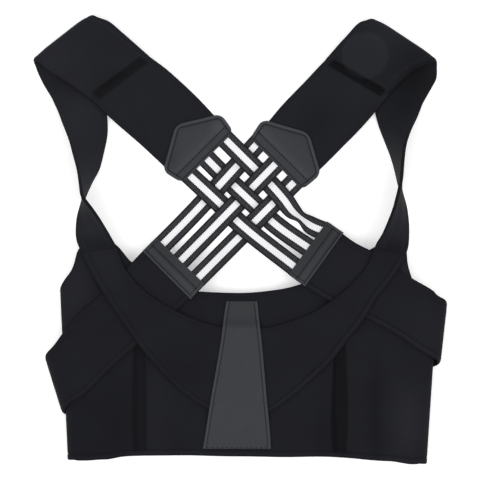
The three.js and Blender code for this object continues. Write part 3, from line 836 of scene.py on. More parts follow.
def woven_elastic(name, dark):
    """Woven elastic: a pale stripe with toothed sides between dark edges, ribbed across."""
    scene = bpy.context.scene
    pale = scene.brace_colours.stripe
    stripe_edge = scene.brace_sizes.stripe_width / 2
    rib, cord, tooth, blur = 0.0023, 0.0011, 0.0004, 0.0002
    stripe_cord_start, stripe_cord_end = stripe_edge + 0.0012, stripe_edge + 0.0018
    edge_cord_start, edge_cord_end = 0.0085, 0.0092
    finish = Finish(name, roughness=0.75, specular=0.2, sheen=0.05)
    along, over = finish.lay()
    ribs = finish.wave(along, rib)
    cords = finish.wave(over, cord)
    from_middle = finish.math("ABSOLUTE", over) + ribs * tooth
    stripe_mask = 1 - finish.step(from_middle, stripe_edge - blur, stripe_edge + blur)
    fibre = finish.noise(size=0.0008, detail=2.0)
    flecks = finish.step(finish.noise(size=0.0016, detail=1.0), 0.35, 0.65)
    weave = ribs * cords * 0.5 + 0.5
    white = finish.mix(weave * 0.5 + fibre * 0.5, shade(pale, 0.86), pale)
    black = finish.mix(weave * 0.3 + flecks * 0.7, shade(dark, 0.75), shade(dark, 2.15))
    edge_cord = finish.step(from_middle, edge_cord_start, edge_cord_end)
    stripe_cord = 1 - finish.step(from_middle, stripe_cord_start, stripe_cord_end)
    black = finish.mix(finish.math("MAXIMUM", edge_cord, stripe_cord), black, shade(dark, 0.12))
    finish.colour(finish.mix(stripe_mask, black, white))
    finish.roughness(0.68 + fibre * 0.2)
    finish.bump(ribs * 0.6 + cords * 0.4 + fibre * 0.5, depth=0.0001)
    return finish.material


def thread(name, base):
    """Sewing thread: two plies, a little glossy."""
    finish = Finish(name, roughness=0.75, specular=0.12)
    plies = finish.noise(size=0.0004, detail=1.0)
    finish.colour(finish.mix(plies, shade(base, 0.6), shade(base, 1.4)))
    finish.roughness(0.65 + plies * 0.2)
    finish.bump(plies, depth=0.00005)
    return finish.material


def hook_pile(name, base):
    """Hook tape: a close field of small hooks."""
    finish = Finish(name, roughness=0.7, specular=0.3)
    hooks = finish.cells(size=0.0016, feature="F1")
    finish.colour(finish.mix(finish.step(hooks, 0.1, 0.6), shade(base, 1.6), shade(base, 0.5)))
    finish.bump(1 - hooks, depth=0.0004)
    return finish.material


def floor_paper(name, base, glow):
    """Matt backdrop paper, lit a little from below as on a light table."""
    finish = Finish(name, roughness=0.9, specular=0.1)
    finish.surface.inputs["Emission Color"].default_value = base
    finish.surface.inputs["Emission Strength"].default_value = glow
    fibre = finish.noise(size=0.004, detail=3.0)
    finish.colour(finish.mix(fibre, shade(base, 0.985), base))
    finish.bump(fibre, depth=0.00005)
    return finish.material


# The maker and the colour of each finish
FINISHES = {
    "black knit": (knit, "cloth"),
    "pad jersey": (knit, "pad_cloth"),
    "grey leather": (leather, "leather"),
    "striped elastic": (woven_elastic, "elastic"),
    "black thread": (thread, "thread"),
    "grey thread": (thread, "pad_thread"),
    "hook tape": (hook_pile, "cloth"),
}


def finish_named(name):
    """The material of that name, made the first time it is asked for."""
    make, colour_key = FINISHES[name]
    base = getattr(bpy.context.scene.brace_colours, colour_key)
    return bpy.data.materials.get(name) or make(name, base)


def stitch_tree():
    """Geometry nodes that lay short stitches end to end along curves."""
    tree = bpy.data.node_groups.get("stitch rows")
    if tree:
        return tree
    tree = bpy.data.node_groups.new("stitch rows", "GeometryNodeTree")
    tree.interface.new_socket("Rows", in_out="INPUT", socket_type="NodeSocketGeometry")
    for size in STITCH_SIZES:
        tree.interface.new_socket(size, in_out="INPUT", socket_type="NodeSocketFloat")
    tree.interface.new_socket("Thread", in_out="INPUT", socket_type="NodeSocketMaterial")
    tree.interface.new_socket("Stitches", in_out="OUTPUT", socket_type="NodeSocketGeometry")

    def node(kind, inputs=None, **settings):
        made = tree.nodes.new(kind)
        for key, value in settings.items():
            setattr(made, key, value)
        for key, value in (inputs or {}).items():
            if isinstance(value, bpy.types.NodeSocket):
                tree.links.new(value, made.inputs[key])
            else:
                made.inputs[key].default_value = value
        return made.outputs

    given = node("NodeGroupInput")
    half = node("ShaderNodeMath", {0: given["Stitch length"], 1: 0.5}, operation="MULTIPLY")
    radius = given["Thread radius"]
    size = node("ShaderNodeCombineXYZ", {"X": radius, "Y": radius, "Z": half[0]})
    spacing = {"Curve": given["Rows"], "Length": given["Pitch"]}
    along = node("GeometryNodeCurveToPoints", spacing, mode="LENGTH")
    bead = node("GeometryNodeMeshUVSphere", {"Segments": 6, "Rings": 4, "Radius": 1.0})
    placing = {"Points": along["Points"], "Rotation": along["Rotation"]}
    laid = node("GeometryNodeInstanceOnPoints", {**placing, "Instance": bead["Mesh"], "Scale": size[0]})
    smooth = node("GeometryNodeSetShadeSmooth", {"Geometry": laid[0]})
    real = node("GeometryNodeRealizeInstances", {"Geometry": smooth[0]})
    done = node("GeometryNodeSetMaterial", {"Geometry": real[0], "Material": given["Thread"]})
    node("NodeGroupOutput", {"Stitches": done[0]})
    return tree


def sew(context, node, rows, slot, finish="black thread"):
    """Sews rows of stitches along lists of points, as one piece; leather takes the coarse stitches."""
    name = node + "_stitches"
    paths = bpy.data.curves.new(name, "CURVE")
    paths.dimensions = "3D"
    for row in rows:
        spline = paths.splines.new("POLY")
        spline.points.add(len(row) - 1)
        weighted = np.column_stack([row * MM + np.array(SHIFT), np.ones(len(row))])
        spline.points.foreach_set("co", weighted.ravel())
    guide = bpy.data.objects.new(name + "_guide", paths)
    context.scene.collection.objects.link(guide)
    sizes = context.scene.brace_sizes
    fine = (sizes.stitch_pitch, sizes.stitch_length, sizes.thread_radius)
    coarse = (sizes.coarse_pitch, sizes.coarse_length, sizes.coarse_radius)
    values = dict(zip(STITCH_SIZES, coarse if slot == "leather" else fine))
    values["Thread"] = finish_named(finish)
    modifier = guide.modifiers.new("stitches", "NODES")
    modifier.node_group = stitch_tree()
    for socket in modifier.node_group.interface.items_tree:
        if socket.in_out == "INPUT" and socket.name in values:
            modifier[socket.identifier] = values[socket.name]
    context.view_layer.update()
    mesh = bpy.data.meshes.new_from_object(guide.evaluated_get(context.evaluated_depsgraph_get()))
    mesh.name = name
    guide.modifiers.remove(modifier)
    bpy.data.objects.remove(guide)
    if not mesh.vertices:
        raise RuntimeError(f"{name}: the rows hold no stitch")
    piece = bpy.data.objects.new(name, mesh)
    context.scene.collection.objects.link(piece)
    return dress(piece, finish, slot)


def sink(x, y):
    """How far a point beyond the band's upper edge has sunk: 0 on the band, 1 on the floor."""
    return smoothstep(y - (EDGE_Y + EDGE_BEND * x * x), 0, DROP)


def strap_drape(x, y):
    """How much lower a wrap strap lies than on the band."""
    return (STRAP_REST_Z - STRAP_Z) * sink(x, y)


def elastic_drape(x, y):
    """How much lower the elastic lies than on the band."""
    return (WEAVE_Z - STRAP_Z) * sink(x, y)


def back_lie(x, y, z):
    """How the layers of the back lie together: dents beside the casings and slow waves, in mm."""
    dents = sum(dent.depth * bell(x - dent.x, dent.spread) for dent in DENTS)
    height, length_x, length_y, start_x, start_y = 0.5, 31, 43, 1.1, 0.4
    slow_waves = height * np.sin(x / length_x + start_x) * np.sin(y / length_y + start_y)
    return smoothstep(z, *BACK_LAYERS) * (slow_waves - dents * smoothstep(-y, *BELOW_YOKE))


def hem(distance, row, rise=0.25, depth=0.45):
    """Relief of a turned hem: raised up to its stitch row, pulled in along the row, in mm."""
    return rise * within(distance, row - 0.5, row + 0.8) - depth * bell(distance - row, 0.9)


def edge_groove(distance):
    """Relief of the stitch row close to an edge, in mm."""
    return -0.15 * bell(distance - EDGE_ROW, 0.8)


def leather_rim(distance, rim, row):
    """Relief of a rim of leather that is turned over, and of the stitch row inside it, in mm."""
    return 0.3 * within(distance, rim - 0.6, rim + 0.4) - 0.35 * bell(distance - row, 0.8)


def sewn_channel(strap, half_width):
    """1 in the channel across a strap's first end, 0 beside it."""
    across_it = within(strap.start, half_width - CHANNEL_IN, half_width + CHANNEL_OUT)
    return across_it * smoothstep(strap.sides(), *CHANNEL_ENDS)


def painted_shades(node, x, y):
    """The tone of a piece's soft painted highlights and painted shade, at its listed places."""
    tone = np.zeros_like(x)
    for place in PAINTED_SHADES.get(node, ()):
        away = np.hypot((x - place.x) / place.reach_x, (y - place.y) / place.reach_y)
        tone += place.tone * bell(away, 1)
    return tone


def hem_painted_light(distance, amount):
    """Painted light on a turned hem: a painted highlight between its edge and its stitch row, and painted
    shade along the row.
    """
    hem_middle = 3
    return amount * (bell(distance - hem_middle, 1.5) - bell(distance - HEM_ROW, 0.9))


def edge_shade(distance):
    """Painted shade: cloth darkened along its edges, where it turns under."""
    turn_start, turn_end = 0.4, 1.8
    return -0.6 * within(distance, turn_start, turn_end)


class BRACE_OT_stage(bpy.types.Operator):
    """Sets the paper floor, the soft lights and the camera that looks straight down"""

    bl_idname = "brace.stage"
    bl_label = "Stage"

    VIEW_END = 50
    SOFTBOX_SIZE = 1.2
    SOFTBOX_PLACES = {"left softbox": (-1.3, -0.6, 2.0), "right softbox": (1.3, -0.6, 2.0)}

    def execute(self, context):
        scene = context.scene
        stage = scene.brace_stage
        camera = bpy.data.objects.new("camera", bpy.data.cameras.new("camera"))
        camera.data.lens = stage.lens
        camera.data.clip_end = self.VIEW_END
        distance = stage.view_width * stage.lens / camera.data.sensor_width
        camera.location = SHIFT + Vector((0, 0, distance + SHARP_PLANE * MM))
        scene.collection.objects.link(camera)
        scene.camera = camera

        half = stage.floor_size / 2
        corners = [(-half, -half, 0), (half, -half, 0), (half, half, 0), (-half, half, 0)]
        mesh = bpy.data.meshes.new("floor")
        mesh.from_pydata(corners, [], [(0, 1, 2, 3)])
        mesh.materials.append(floor_paper("backdrop paper", stage.floor_colour, stage.floor_glow))
        floor = bpy.data.objects.new("floor", mesh)
        scene.collection.objects.link(floor)

        world = bpy.data.worlds.new("studio")
        world.use_nodes = True
        background = world.node_tree.nodes["Background"]
        background.inputs["Color"].default_value = (1, 1, 1, 1)
        background.inputs["Strength"].default_value = stage.dome
        scene.world = world
        scene.view_settings.view_transform = "Standard"

        for name, place in self.SOFTBOX_PLACES.items():
            lamp = bpy.data.lights.new(name, "AREA")
            lamp.size = self.SOFTBOX_SIZE
            lamp.energy = stage.side_light
            softbox = bpy.data.objects.new(name, lamp)
            softbox.location = place
            softbox.rotation_euler = (-Vector(place)).to_track_quat("-Z", "Y").to_euler()
            scene.collection.objects.link(softbox)
        return {"FINISHED"}


class BRACE_OT_waist_band(bpy.types.Operator):
    """Lays the waist band as a flattened tube, hems it and puts the hook strip between its front ends"""

    bl_idname = "brace.waist_band"
    bl_label = "Waist band"

    def execute(self, context):
        wall = context.scene.brace_sizes.band_wall / MM
        band = Strip(BAND_ROWS, step=3.0, lie=back_lie)
        relief = hem(band.near, HEM_ROW) + hem(band.far, NARROW_ROW, rise=0.1, depth=0.3)
        # Painted shade along the edges, a painted highlight on the hem, and painted highlights and shade at
        # the band's listed places
        tone = edge_shade(band.sides()) + hem_painted_light(band.near, BAND_HEM_LIGHT)
        tone += painted_shades("waist_band", *band.plan())
        piece = band.solid("waist_band_cloth", wall, top=relief, tone=tone)
        dress(piece, "black knit", "cloth", "waist_band")
        sewn = sew(context, "waist_band", [band.seam(HEM_ROW), band.seam(NARROW_ROW, "far")], "cloth")
        declare_sheet(band)

        hooks = Strip(HOOK_ROWS, step=4.0).solid("front_fastener_hooks", HOOK_WALL)
        dress(hooks, "hook tape", "cloth", "front_fastener")
        return {"FINISHED"}


class BRACE_OT_stay_casings(bpy.types.Operator):
    """Sews the two upright casings on the back of the band"""

    bl_idname = "brace.stay_casings"
    bl_label = "Stay casings"

    ROW = 1.7
    CROWN = 5
    DARK_AT = 3
    TUCKED = (13, 21)

    def execute(self, context):
        for side, rows in CASING_ROWS.items():
            casing = Strip(rows, step=2.0, lie=back_lie)
            sides = casing.sides()
            crown = 0.3 * smoothstep(sides, self.ROW, self.CROWN) - 0.25 * bell(sides - self.ROW, 0.7)
            tucked = within(casing.start, *self.TUCKED)
            loss = -TUCKED_LOSS * tucked
            relief = crown * (1 - tucked) + loss
            # Painted shade: the casing darkened all over as a recessed channel, and most a little inside
            # its near edge
            tone = CASING_PAINTED_SHADE[side] - 0.35 * bell(casing.near - self.DARK_AT, 2.5)
            name = f"stay_casing_{side}"
            piece = casing.solid(name + "_tape", CASING_WALL, top=relief, bottom=loss, tone=tone)
            dress(piece, "black knit", "cloth", name)
            sewn = sew(context, name, casing.edge_seams(self.ROW), "cloth")
            declare_sheet(casing)
        return {"FINISHED"}


class BRACE_OT_wrap_straps(bpy.types.Operator):
    """Lays the wrap straps over the band, round the sides and along the floor"""

    bl_idname = "brace.wrap_straps"
    bl_label = "Wrap straps"

    SIDE_FADE = (165, 185)

    def execute(self, context):
        wall = context.scene.brace_sizes.strap_wall / MM
        laid = {"step": 3.0, "lift": strap_drape, "lie": back_lie, "corners": WRAP_CORNERS}
        for side, rows in WRAP_ROWS.items():
            strap = Strip(rows, flip=side == "left", **laid)
            relief = hem(strap.near, HEM_ROW) + hem(strap.far, HEM_ROW) + edge_groove(strap.sides())
            relief *= strap.off_floor()
            name = f"wrap_strap_{side}"
            x, y = strap.plan()
            # Painted shade along the edges, a painted highlight on the near hem, and painted highlights and
            # shade at the strap's listed places; the far edge's painted shade fades out towards the sides
            tone = edge_shade(strap.near) + painted_shades(name, x, y) + hem_painted_light(strap.near, HEM_LIGHT[side])
            tone += 0.4 * edge_shade(strap.far) * within(np.abs(x), *self.SIDE_FADE)
            piece = strap.solid(name + "_cloth", wall, top=relief, tone=tone)
            dress(piece, "black knit", "cloth", name)
            sewn = sew(context, name, strap.edge_seams(EDGE_ROW, HEM_ROW), "cloth")
            declare_sheet(strap)
        return {"FINISHED"}


class BRACE_OT_yokes(bpy.types.Operator):
    """Lays the curved yoke halves from the armpits to the middle of the back"""

    bl_idname = "brace.yokes"
    bl_label = "Yokes"

    def execute(self, context):
        wall = context.scene.brace_sizes.strap_wall / MM
        for side, rows in YOKE_ROWS.items():
            yoke = Strip(rows, step=2.6, lie=back_lie, flip=side == "right", reach=3.0)
            relief = hem(yoke.near, HEM_ROW) + hem(yoke.far, NARROW_ROW, rise=0.15, depth=0.3)
            relief += edge_groove(yoke.near)
            name = f"yoke_{side}"
            # Painted shade along the edges, a painted highlight on the near hem, and painted highlights and
            # shade at the yoke's listed places
            tone = edge_shade(yoke.sides()) + hem_painted_light(yoke.near, HEM_LIGHT[side])
            tone += painted_shades(name, *yoke.plan())
            piece = yoke.solid(name + "_cloth", wall, top=relief, tone=tone)
            dress(piece, "black knit", "cloth", name)
            seams = [yoke.seam(EDGE_ROW), yoke.seam(HEM_ROW), yoke.seam(NARROW_ROW, "far")]
            sewn = sew(context, name, seams, "cloth")
            declare_sheet(yoke)
        return {"FINISHED"}


class BRACE_OT_centre_patch(bpy.types.Operator):
    """Sews the leather trapezoid over the ends of the yoke"""

    bl_idname = "brace.centre_patch"
    bl_label = "Centre patch"

    RIM = 2.4
    ROW = 3.6
    LIP = 1.3
    NOTCH_PITCH = 4.9
    DARK_END = (27, 32)

    def execute(self, context):
        patch = Strip(CENTRE_PATCH_ROWS, step=2.4, lie=back_lie, reach=1.5)
        sides = patch.sides()
        # Painted highlight on the turned rim, painted shade along the stitch row, and the upper end darker
        tone = 0.7 * within(sides, self.RIM - 0.4, self.RIM + 0.4) - 0.5 * bell(sides - self.ROW, 0.8)
        tone -= 0.8 * within(patch.start, *self.DARK_END) * smoothstep(sides, self.RIM, self.ROW)
        relief = leather_rim(sides, self.RIM, self.ROW)
        piece = patch.solid("centre_patch_leather", LEATHER_WALL, top=relief, tone=tone)
        dress(piece, "grey leather", "leather", "centre_patch")
        lip_row = patch.cross_seam(self.LIP, self.RIM, "end")
        first, last = lip_row[0, 0], lip_row[-1, 0]
        notches = []
        for x in np.linspace(first, last, int((last - first) / self.NOTCH_PITCH)):
            middle = place_at(x, lip_row[:, 0], lip_row)
            notches.append(np.array([middle, middle + (0, self.LIP, 0)]))
        sew(context, "centre_patch", patch.edge_seams(self.ROW) + notches, "leather")
        return {"FINISHED"}


class BRACE_OT_shoulder_straps(bpy.types.Operator):
    """Pads the shoulder straps: folded over at the shoulder and turned on edge at the armpit"""

    bl_idname = "brace.shoulder_straps"
    bl_label = "Shoulder straps"

    THIN_END = (4, 30)
    CROWN = 20
    DIM_END = (60, 90)
    UPPER_LAYER = (6, 8)

    def execute(self, context):
        wall = context.scene.brace_sizes.pad_wall / MM
        for side, rows in SHOULDER_ROWS.items():
            strap = Strip(rows, step=2.8, flip=side == "left", corners=FOLD_CORNERS[side])
            sides = strap.sides()
            thin_end = within(strap.end, *self.THIN_END) * (PAD_WALL - STRAP_WALL) / 2
            crown = 0.7 * smoothstep(sides, HEM_ROW, self.CROWN) * strap.off_floor() - thin_end
            channel = sewn_channel(strap, PAD_CHANNEL[side])
            relief = crown - channel - 0.3 * bell(sides - HEM_ROW, 1.0)
            name = f"shoulder_strap_{side}"
            # Painted shade along the edges and in the sewn channel, and painted highlights and shade at the
            # strap's listed places
            tone = edge_shade(sides) - CHANNEL_PAINTED_SHADE[side] * channel + painted_shades(name, *strap.plan())
            if side == "right":
                disc = self.disc(strap)
                relief += 0.35 * disc
                tone += 0.6 * disc - 0.15 * within(strap.start, *self.DIM_END)
            underside = 0.3 * crown - thin_end
            piece = strap.solid(name + "_pad", wall, top=relief, bottom=underside, tone=tone)
            dress(piece, "pad jersey", "pad_cloth", name)
            seams = strap.edge_seams(HEM_ROW)
            if side == "right":
                seams.append(strap.seam(SECOND_ROW))
            sew(context, name, seams, "pad_cloth", "grey thread")
        return {"FINISHED"}

    def disc(self, strap):
        """1 on the round pad, which shows in the strap's upper layer, and 0 beside it."""
        x, y, z = np.moveaxis(strap.points, -1, 0)
        from_middle = np.hypot(x - DISC_MIDDLE[0], y - DISC_MIDDLE[1])
        return within(from_middle, *DISC_EDGE) * smoothstep(z, *self.UPPER_LAYER)


class BRACE_OT_back_straps(bpy.types.Operator):
    """Lays the thinner straps from the pads to the leather patches"""

    bl_idname = "brace.back_straps"
    bl_label = "Back straps"

    CREASE_AT = 42
    CREASE_MIDDLE = 36
    CREASE_SLANT = 0.35
    CREASE_ENDS = (12, 26)

    def execute(self, context):
        for side, rows in BACK_STRAP_ROWS.items():
            strap = Strip(rows, step=2.8, flip=side == "right")
            sides = strap.sides()
            channel = sewn_channel(strap, BACK_CHANNEL)
            relief = hem(sides, NARROW_ROW, rise=0.1, depth=0.3) - 0.5 * channel
            if side == "right":
                slant = self.CREASE_SLANT * (strap.near - self.CREASE_MIDDLE)
                crease = bell(strap.start - self.CREASE_AT - slant, 5)
                relief -= 0.5 * crease * smoothstep(sides, *self.CREASE_ENDS)
            name = f"back_strap_{side}"
            # Painted shade along the edges and in the sewn channel, and painted shade at the strap's listed
            # places
            tone = edge_shade(sides) - CHANNEL_PAINTED_SHADE[side] * channel + painted_shades(name, *strap.plan())
            piece = strap.solid(name + "_cloth", BACK_STRAP_WALL, top=relief, tone=tone)
            dress(piece, "pad jersey", "pad_cloth", name)
            sewn = sew(context, name, strap.edge_seams(NARROW_ROW), "pad_cloth")
            declare_sheet(strap)
        return {"FINISHED"}


def edge_distances(corners, x, y):
    """Distance of points to each edge line of a convex outline, positive inside."""
    middle = corners.mean(axis=0)
    distances = []
    for here, after in zip(corners, np.roll(corners, -1, axis=0)):
        line = (after - here) / np.linalg.norm(after - here)
        normal = np.array([-line[1], line[0]])
        if normal @ (middle - here) < 0:
            normal = -normal
        distances.append((x - here[0]) * normal[0] + (y - here[1]) * normal[1])
    return np.array(distances)


def rounded_depth(distances, radius):
    """How deep points lie inside an outline with rounded corners, from their distances to its edges."""
    short = np.minimum(distances - radius, 0)
    in_corner = radius - np.sqrt((short ** 2).sum(axis=0))
    return np.where((short < 0).sum(axis=0) > 1, in_corner, distances.min(axis=0))


def around(corners, turns, radius):
    """Places round the middle of an outline: x and y."""
    middle = corners.mean(axis=0)
    return middle[0] + radius * np.cos(turns), middle[1] + radius * np.sin(turns)


class BRACE_OT_cross_patches(bpy.types.Operator):
    """Sews the five-sided leather patches over the joint of back strap and elastic"""

    bl_idname = "brace.cross_patches"
    bl_label = "Cross patches"

    RIM = 3.0
    ROW = 4.3
    LIP_ROW = 2.7
    BAND_ROW = {"left": 10.4, "right": 11.4}
    PILLOW = 7
    HIGHLIGHT_AT = 14
    BAND_LIGHT_AT = 6
    FAR_SIDE = (20, 45)
    STITCH_SINK = 0.05
    ROW_POINTS = 400
    ROW_GAP = 0.05
    EDGE_POINTS = 200
    RING_POINTS = 240
    RING_DEPTHS = (0.0, 0.1, 0.4, 0.9, 1.5, 2.2, 2.8, 3.4, 3.9, 4.4, 5, 6, 7, 8)
    RING_SHARES = np.linspace(0.93, 0.02, 14)
    FARTHEST = 90.0
    HALVINGS = 30

    def execute(self, context):
        for side, outline in CROSS_PATCH_CORNERS.items():
            name = f"cross_patch_{side}"
            corners = np.array(outline, float)
            piece = self.patch(name, corners, self.BAND_ROW[side])
            dress(piece, "grey leather", "leather", name)
            sew(context, name, self.stitch_rows(corners, self.BAND_ROW[side]), "leather")
        return {"FINISHED"}

    def reach(self, corners, turns, depth, own_edge=True):
        """How far from the middle each direction goes before it is only depth inside the outline."""
        low, high = np.zeros_like(turns), np.full_like(turns, self.FARTHEST)
        for _ in range(self.HALVINGS):
            half = (low + high) / 2
            distances = edge_distances(corners, *around(corners, turns, half))
            inside = rounded_depth(distances if own_edge else distances[1:], CROSS_PATCH_CORNER) > depth
            low, high = np.where(inside, half, low), np.where(inside, high, half)
        return low

    def patch(self, node, corners, band_row):
        """The patch's mesh, in rings round its middle."""
        turns = np.linspace(0, math.tau, self.RING_POINTS, endpoint=False)
        rings = [self.reach(corners, turns, depth) for depth in self.RING_DEPTHS]
        rings += [rings[-1] * share for share in self.RING_SHARES]
        x, y = around(corners, turns[:, None], np.array(rings).T)
        distances = edge_distances(corners, x, y)
        rim = rounded_depth(distances[1:], CROSS_PATCH_CORNER)
        elastic_edge = distances[0]
        pillow = smoothstep(np.minimum(rim - self.ROW, elastic_edge - band_row), 0, self.PILLOW)
        relief = leather_rim(rim, self.RIM, self.ROW) + 0.5 * pillow
        relief -= 0.35 * bell(elastic_edge - band_row, 0.8) + 0.3 * bell(elastic_edge - self.LIP_ROW, 0.7)
        panel = smoothstep(rim, self.RIM, self.ROW)
        # Painted light and shade, and painted highlights and shade at the patch's listed places
        tone = self.tone(rim, elastic_edge, panel, band_row) + panel * painted_shades(node, x, y)
        rounding = round_edge(rounded_depth(distances, CROSS_PATCH_CORNER), LEATHER_WALL)
        upper = np.stack([x, y, CROSS_PATCH_Z + (LEATHER_WALL / 2 + relief) * rounding], axis=-1)
        lower = np.stack([x, y, CROSS_PATCH_Z - LEATHER_WALL / 2 * rounding], axis=-1)
        return closed_mesh(node + "_leather", upper, lower, upper[..., :2], tone, rings=True)

    def tone(self, rim, elastic_edge, panel, band_row):
        """Painted light and shade: painted highlights on the rim and lip and along the elastic, painted
        shade in the stitch rows, over the band between them and towards the far side.
        """
        in_band = smoothstep(band_row - elastic_edge, 0, 1)
        tone = 1.05 * within(rim, self.RIM - 0.4, self.RIM + 0.4) - 0.8 * bell(rim - self.ROW, 0.7)
        far_side = smoothstep(elastic_edge, *self.FAR_SIDE)
        tone += panel * (0.95 * bell(elastic_edge - self.HIGHLIGHT_AT, 5) - 0.3 * far_side - 0.1)
        tone += in_band * panel * (0.3 * bell(elastic_edge - self.BAND_LIGHT_AT, 2) - 0.2)
        tone += 0.8 * within(elastic_edge, self.LIP_ROW - 1, self.LIP_ROW - 0.5)
        tone -= 0.9 * bell(elastic_edge - self.LIP_ROW, 0.7)
        return tone - 0.8 * panel * bell(elastic_edge - band_row, 0.7)

    def stitch_rows(self, corners, band_row):
        """One row inside the rim, and two along the edge that the elastic leaves."""
        first, last = corners[:2]
        outward = (first + last) / 2 - corners.mean(axis=0)
        turns = np.linspace(self.ROW_GAP, math.tau - self.ROW_GAP, self.ROW_POINTS)
        turns += math.atan2(outward[1], outward[0])
        x, y = around(corners, turns, self.reach(corners, turns, self.ROW, own_edge=False))
        lines = [np.column_stack([x, y])[edge_distances(corners, x, y)[0] > self.LIP_ROW]]
        direction = (last - first) / np.linalg.norm(last - first)
        inward = direction * (outward @ direction) - outward
        inward = inward / np.linalg.norm(inward)
        for inset in (band_row, self.LIP_ROW):
            share = np.linspace(0, 1, self.EDGE_POINTS)[:, None]
            line = first + (last - first) * share + inward * inset
            deep = rounded_depth(edge_distances(corners, *line.T)[1:], CROSS_PATCH_CORNER)
            lines.append(line[deep > self.ROW])
        height = CROSS_PATCH_Z + LEATHER_WALL / 2 - self.STITCH_SINK
        return [np.column_stack([line, np.full(len(line), height)]) for line in lines]


class BRACE_OT_strap_tips(bpy.types.Operator):
    """Sews the leather strips over the joint of elastic and wrap strap"""

    bl_idname = "brace.strap_tips"
    bl_label = "Strap tips"

    OUTER_ROW = 3.0
    INNER_ROW = 12.2
    END_ROW = 3.8
    RIDGE = 7.6
    LIP = (1.2, 2.0)
    LIP_LIGHT = (0.8, 1.5)
    INNER_LIGHT = (0.6, 1.4)
    END_LIGHT = (2.2, 3.0)
    DARK_FROM = (20, 65)

    def execute(self, context):
        for side, rows in TIP_ROWS.items():
            tip = Strip(rows, step=1.6, lift=strap_drape, flip=side == "right")
            ends = tip.sides()
            outer = tip.start - self.OUTER_ROW
            inner = tip.start - self.INNER_ROW
            ridge = tip.start - self.RIDGE
            relief = 0.25 * within(tip.start, *self.LIP) + 0.35 * bell(ridge, 3.0)
            relief -= 0.3 * (bell(outer, 0.7) + bell(inner, 0.7)) + 0.25 * bell(ends - self.END_ROW, 0.7)
            # Painted highlights on the start edge, the ridge and the ends, painted shade in the stitch
            # rows, and the tip darker away from its near edge
            tone = 2.2 * within(tip.start, *self.LIP_LIGHT) + 0.75 * bell(ridge, 2.2)
            tone += 0.5 * within(ends, *self.END_LIGHT) + 0.5 * within(tip.end, *self.INNER_LIGHT)
            tone -= 1.1 * (bell(outer, 1.1) + bell(inner, 1.3))
            tone -= TIP_DARK[side] * (0.4 + 0.6 * smoothstep(tip.near, *self.DARK_FROM))
            name = f"strap_tip_{side}"
            piece = tip.solid(name + "_leather", LEATHER_WALL, top=relief, tone=tone)
            dress(piece, "grey leather", "leather", name)
            seams = [tip.cross_seam(row, self.END_ROW) for row in (self.OUTER_ROW, self.INNER_ROW)]
            sew(context, name, seams + tip.edge_seams(self.END_ROW), "leather")
        return {"FINISHED"}


class BRACE_OT_elastic_lattice(bpy.types.Operator):
    """Plaits the six elastic bands over and under each other"""

    bl_idname = "brace.elastic_lattice"
    bl_label = "Elastic lattice"

    # Way of three bands, the bands they cross, 1 where the first passes over, and the side they start from
    WAYS = (("falling", "rising", 1, "left"), ("rising", "falling", -1, "right"))

    def execute(self, context):
        wall = context.scene.brace_sizes.elastic_wall / MM
        for way, others, over, side in self.WAYS:
            for own, path in enumerate(ELASTIC_PATHS[way]):
                lift = self.plait(ELASTIC_PATHS[others], over, own)
                band = Strip(self.sections(path), step=1.6, lift=lift, reach=1.0)
                name = f"elastic_{way}_{own + 1}"
                piece = band.solid(name + "_band", wall)
                dress(piece, "striped elastic", "elastic", name)
                declare_sheet(band)
        return {"FINISHED"}

    def sections(self, path):
        """Sections square to a band's path."""
        rows = []
        for i, knot in enumerate(path):
            before = path[max(i - 1, 0)]
            after = path[min(i + 1, len(path) - 1)]
            aim = math.degrees(math.atan2(after.y - before.y, after.x - before.x)) + 90
            rows.append(Section(knot.x, knot.y, STRAP_Z + knot.rise, ELASTIC_WIDTH, aim, knot.lean))
        return rows

    def distance(self, path, x, y):
        """Distance of points to a path, in plan."""
        least = np.full(x.shape, np.inf)
        for here, after in zip(path, path[1:]):
            dx, dy = after.x - here.x, after.y - here.y
            share = np.clip(((x - here.x) * dx + (y - here.y) * dy) / (dx * dx + dy * dy), 0, 1)
            least = np.minimum(least, np.hypot(x - here.x - share * dx, y - here.y - share * dy))
        return least

    def plait(self, others, over, own):
        """The height of a band where it passes over and under the bands that cross it."""
        def lift(x, y):
            height = elastic_drape(x, y)
            for k, path in enumerate(others):
                way = over if (own + k) % 2 == 0 else -over
                near = within(self.distance(path, x, y), CROSSING_FLAT, CROSSING_END)
                height = height + way * WEAVE_RISE * near
            return height
        return lift


def length(name, description, millimetres):
    """A length property; its default is given in millimetres."""
    return bpy.props.FloatProperty(
        name=name, description=description, default=millimetres * MM, min=0.0,
        unit="LENGTH", subtype="DISTANCE", precision=5,
    )


def amount(name, description, default, least=0.0, unit="NONE"):
    """A number property that is no length."""
    return bpy.props.FloatProperty(
        name=name, description=description, default=default, min=least, unit=unit,
    )


def colour(name, description, red, green, blue):
    """A colour property, in linear light."""
    return bpy.props.FloatVectorProperty(
        name=name, description=description, default=(red, green, blue, 1.0), min=0.0, max=1.0,
        size=4, subtype="COLOR",
    )


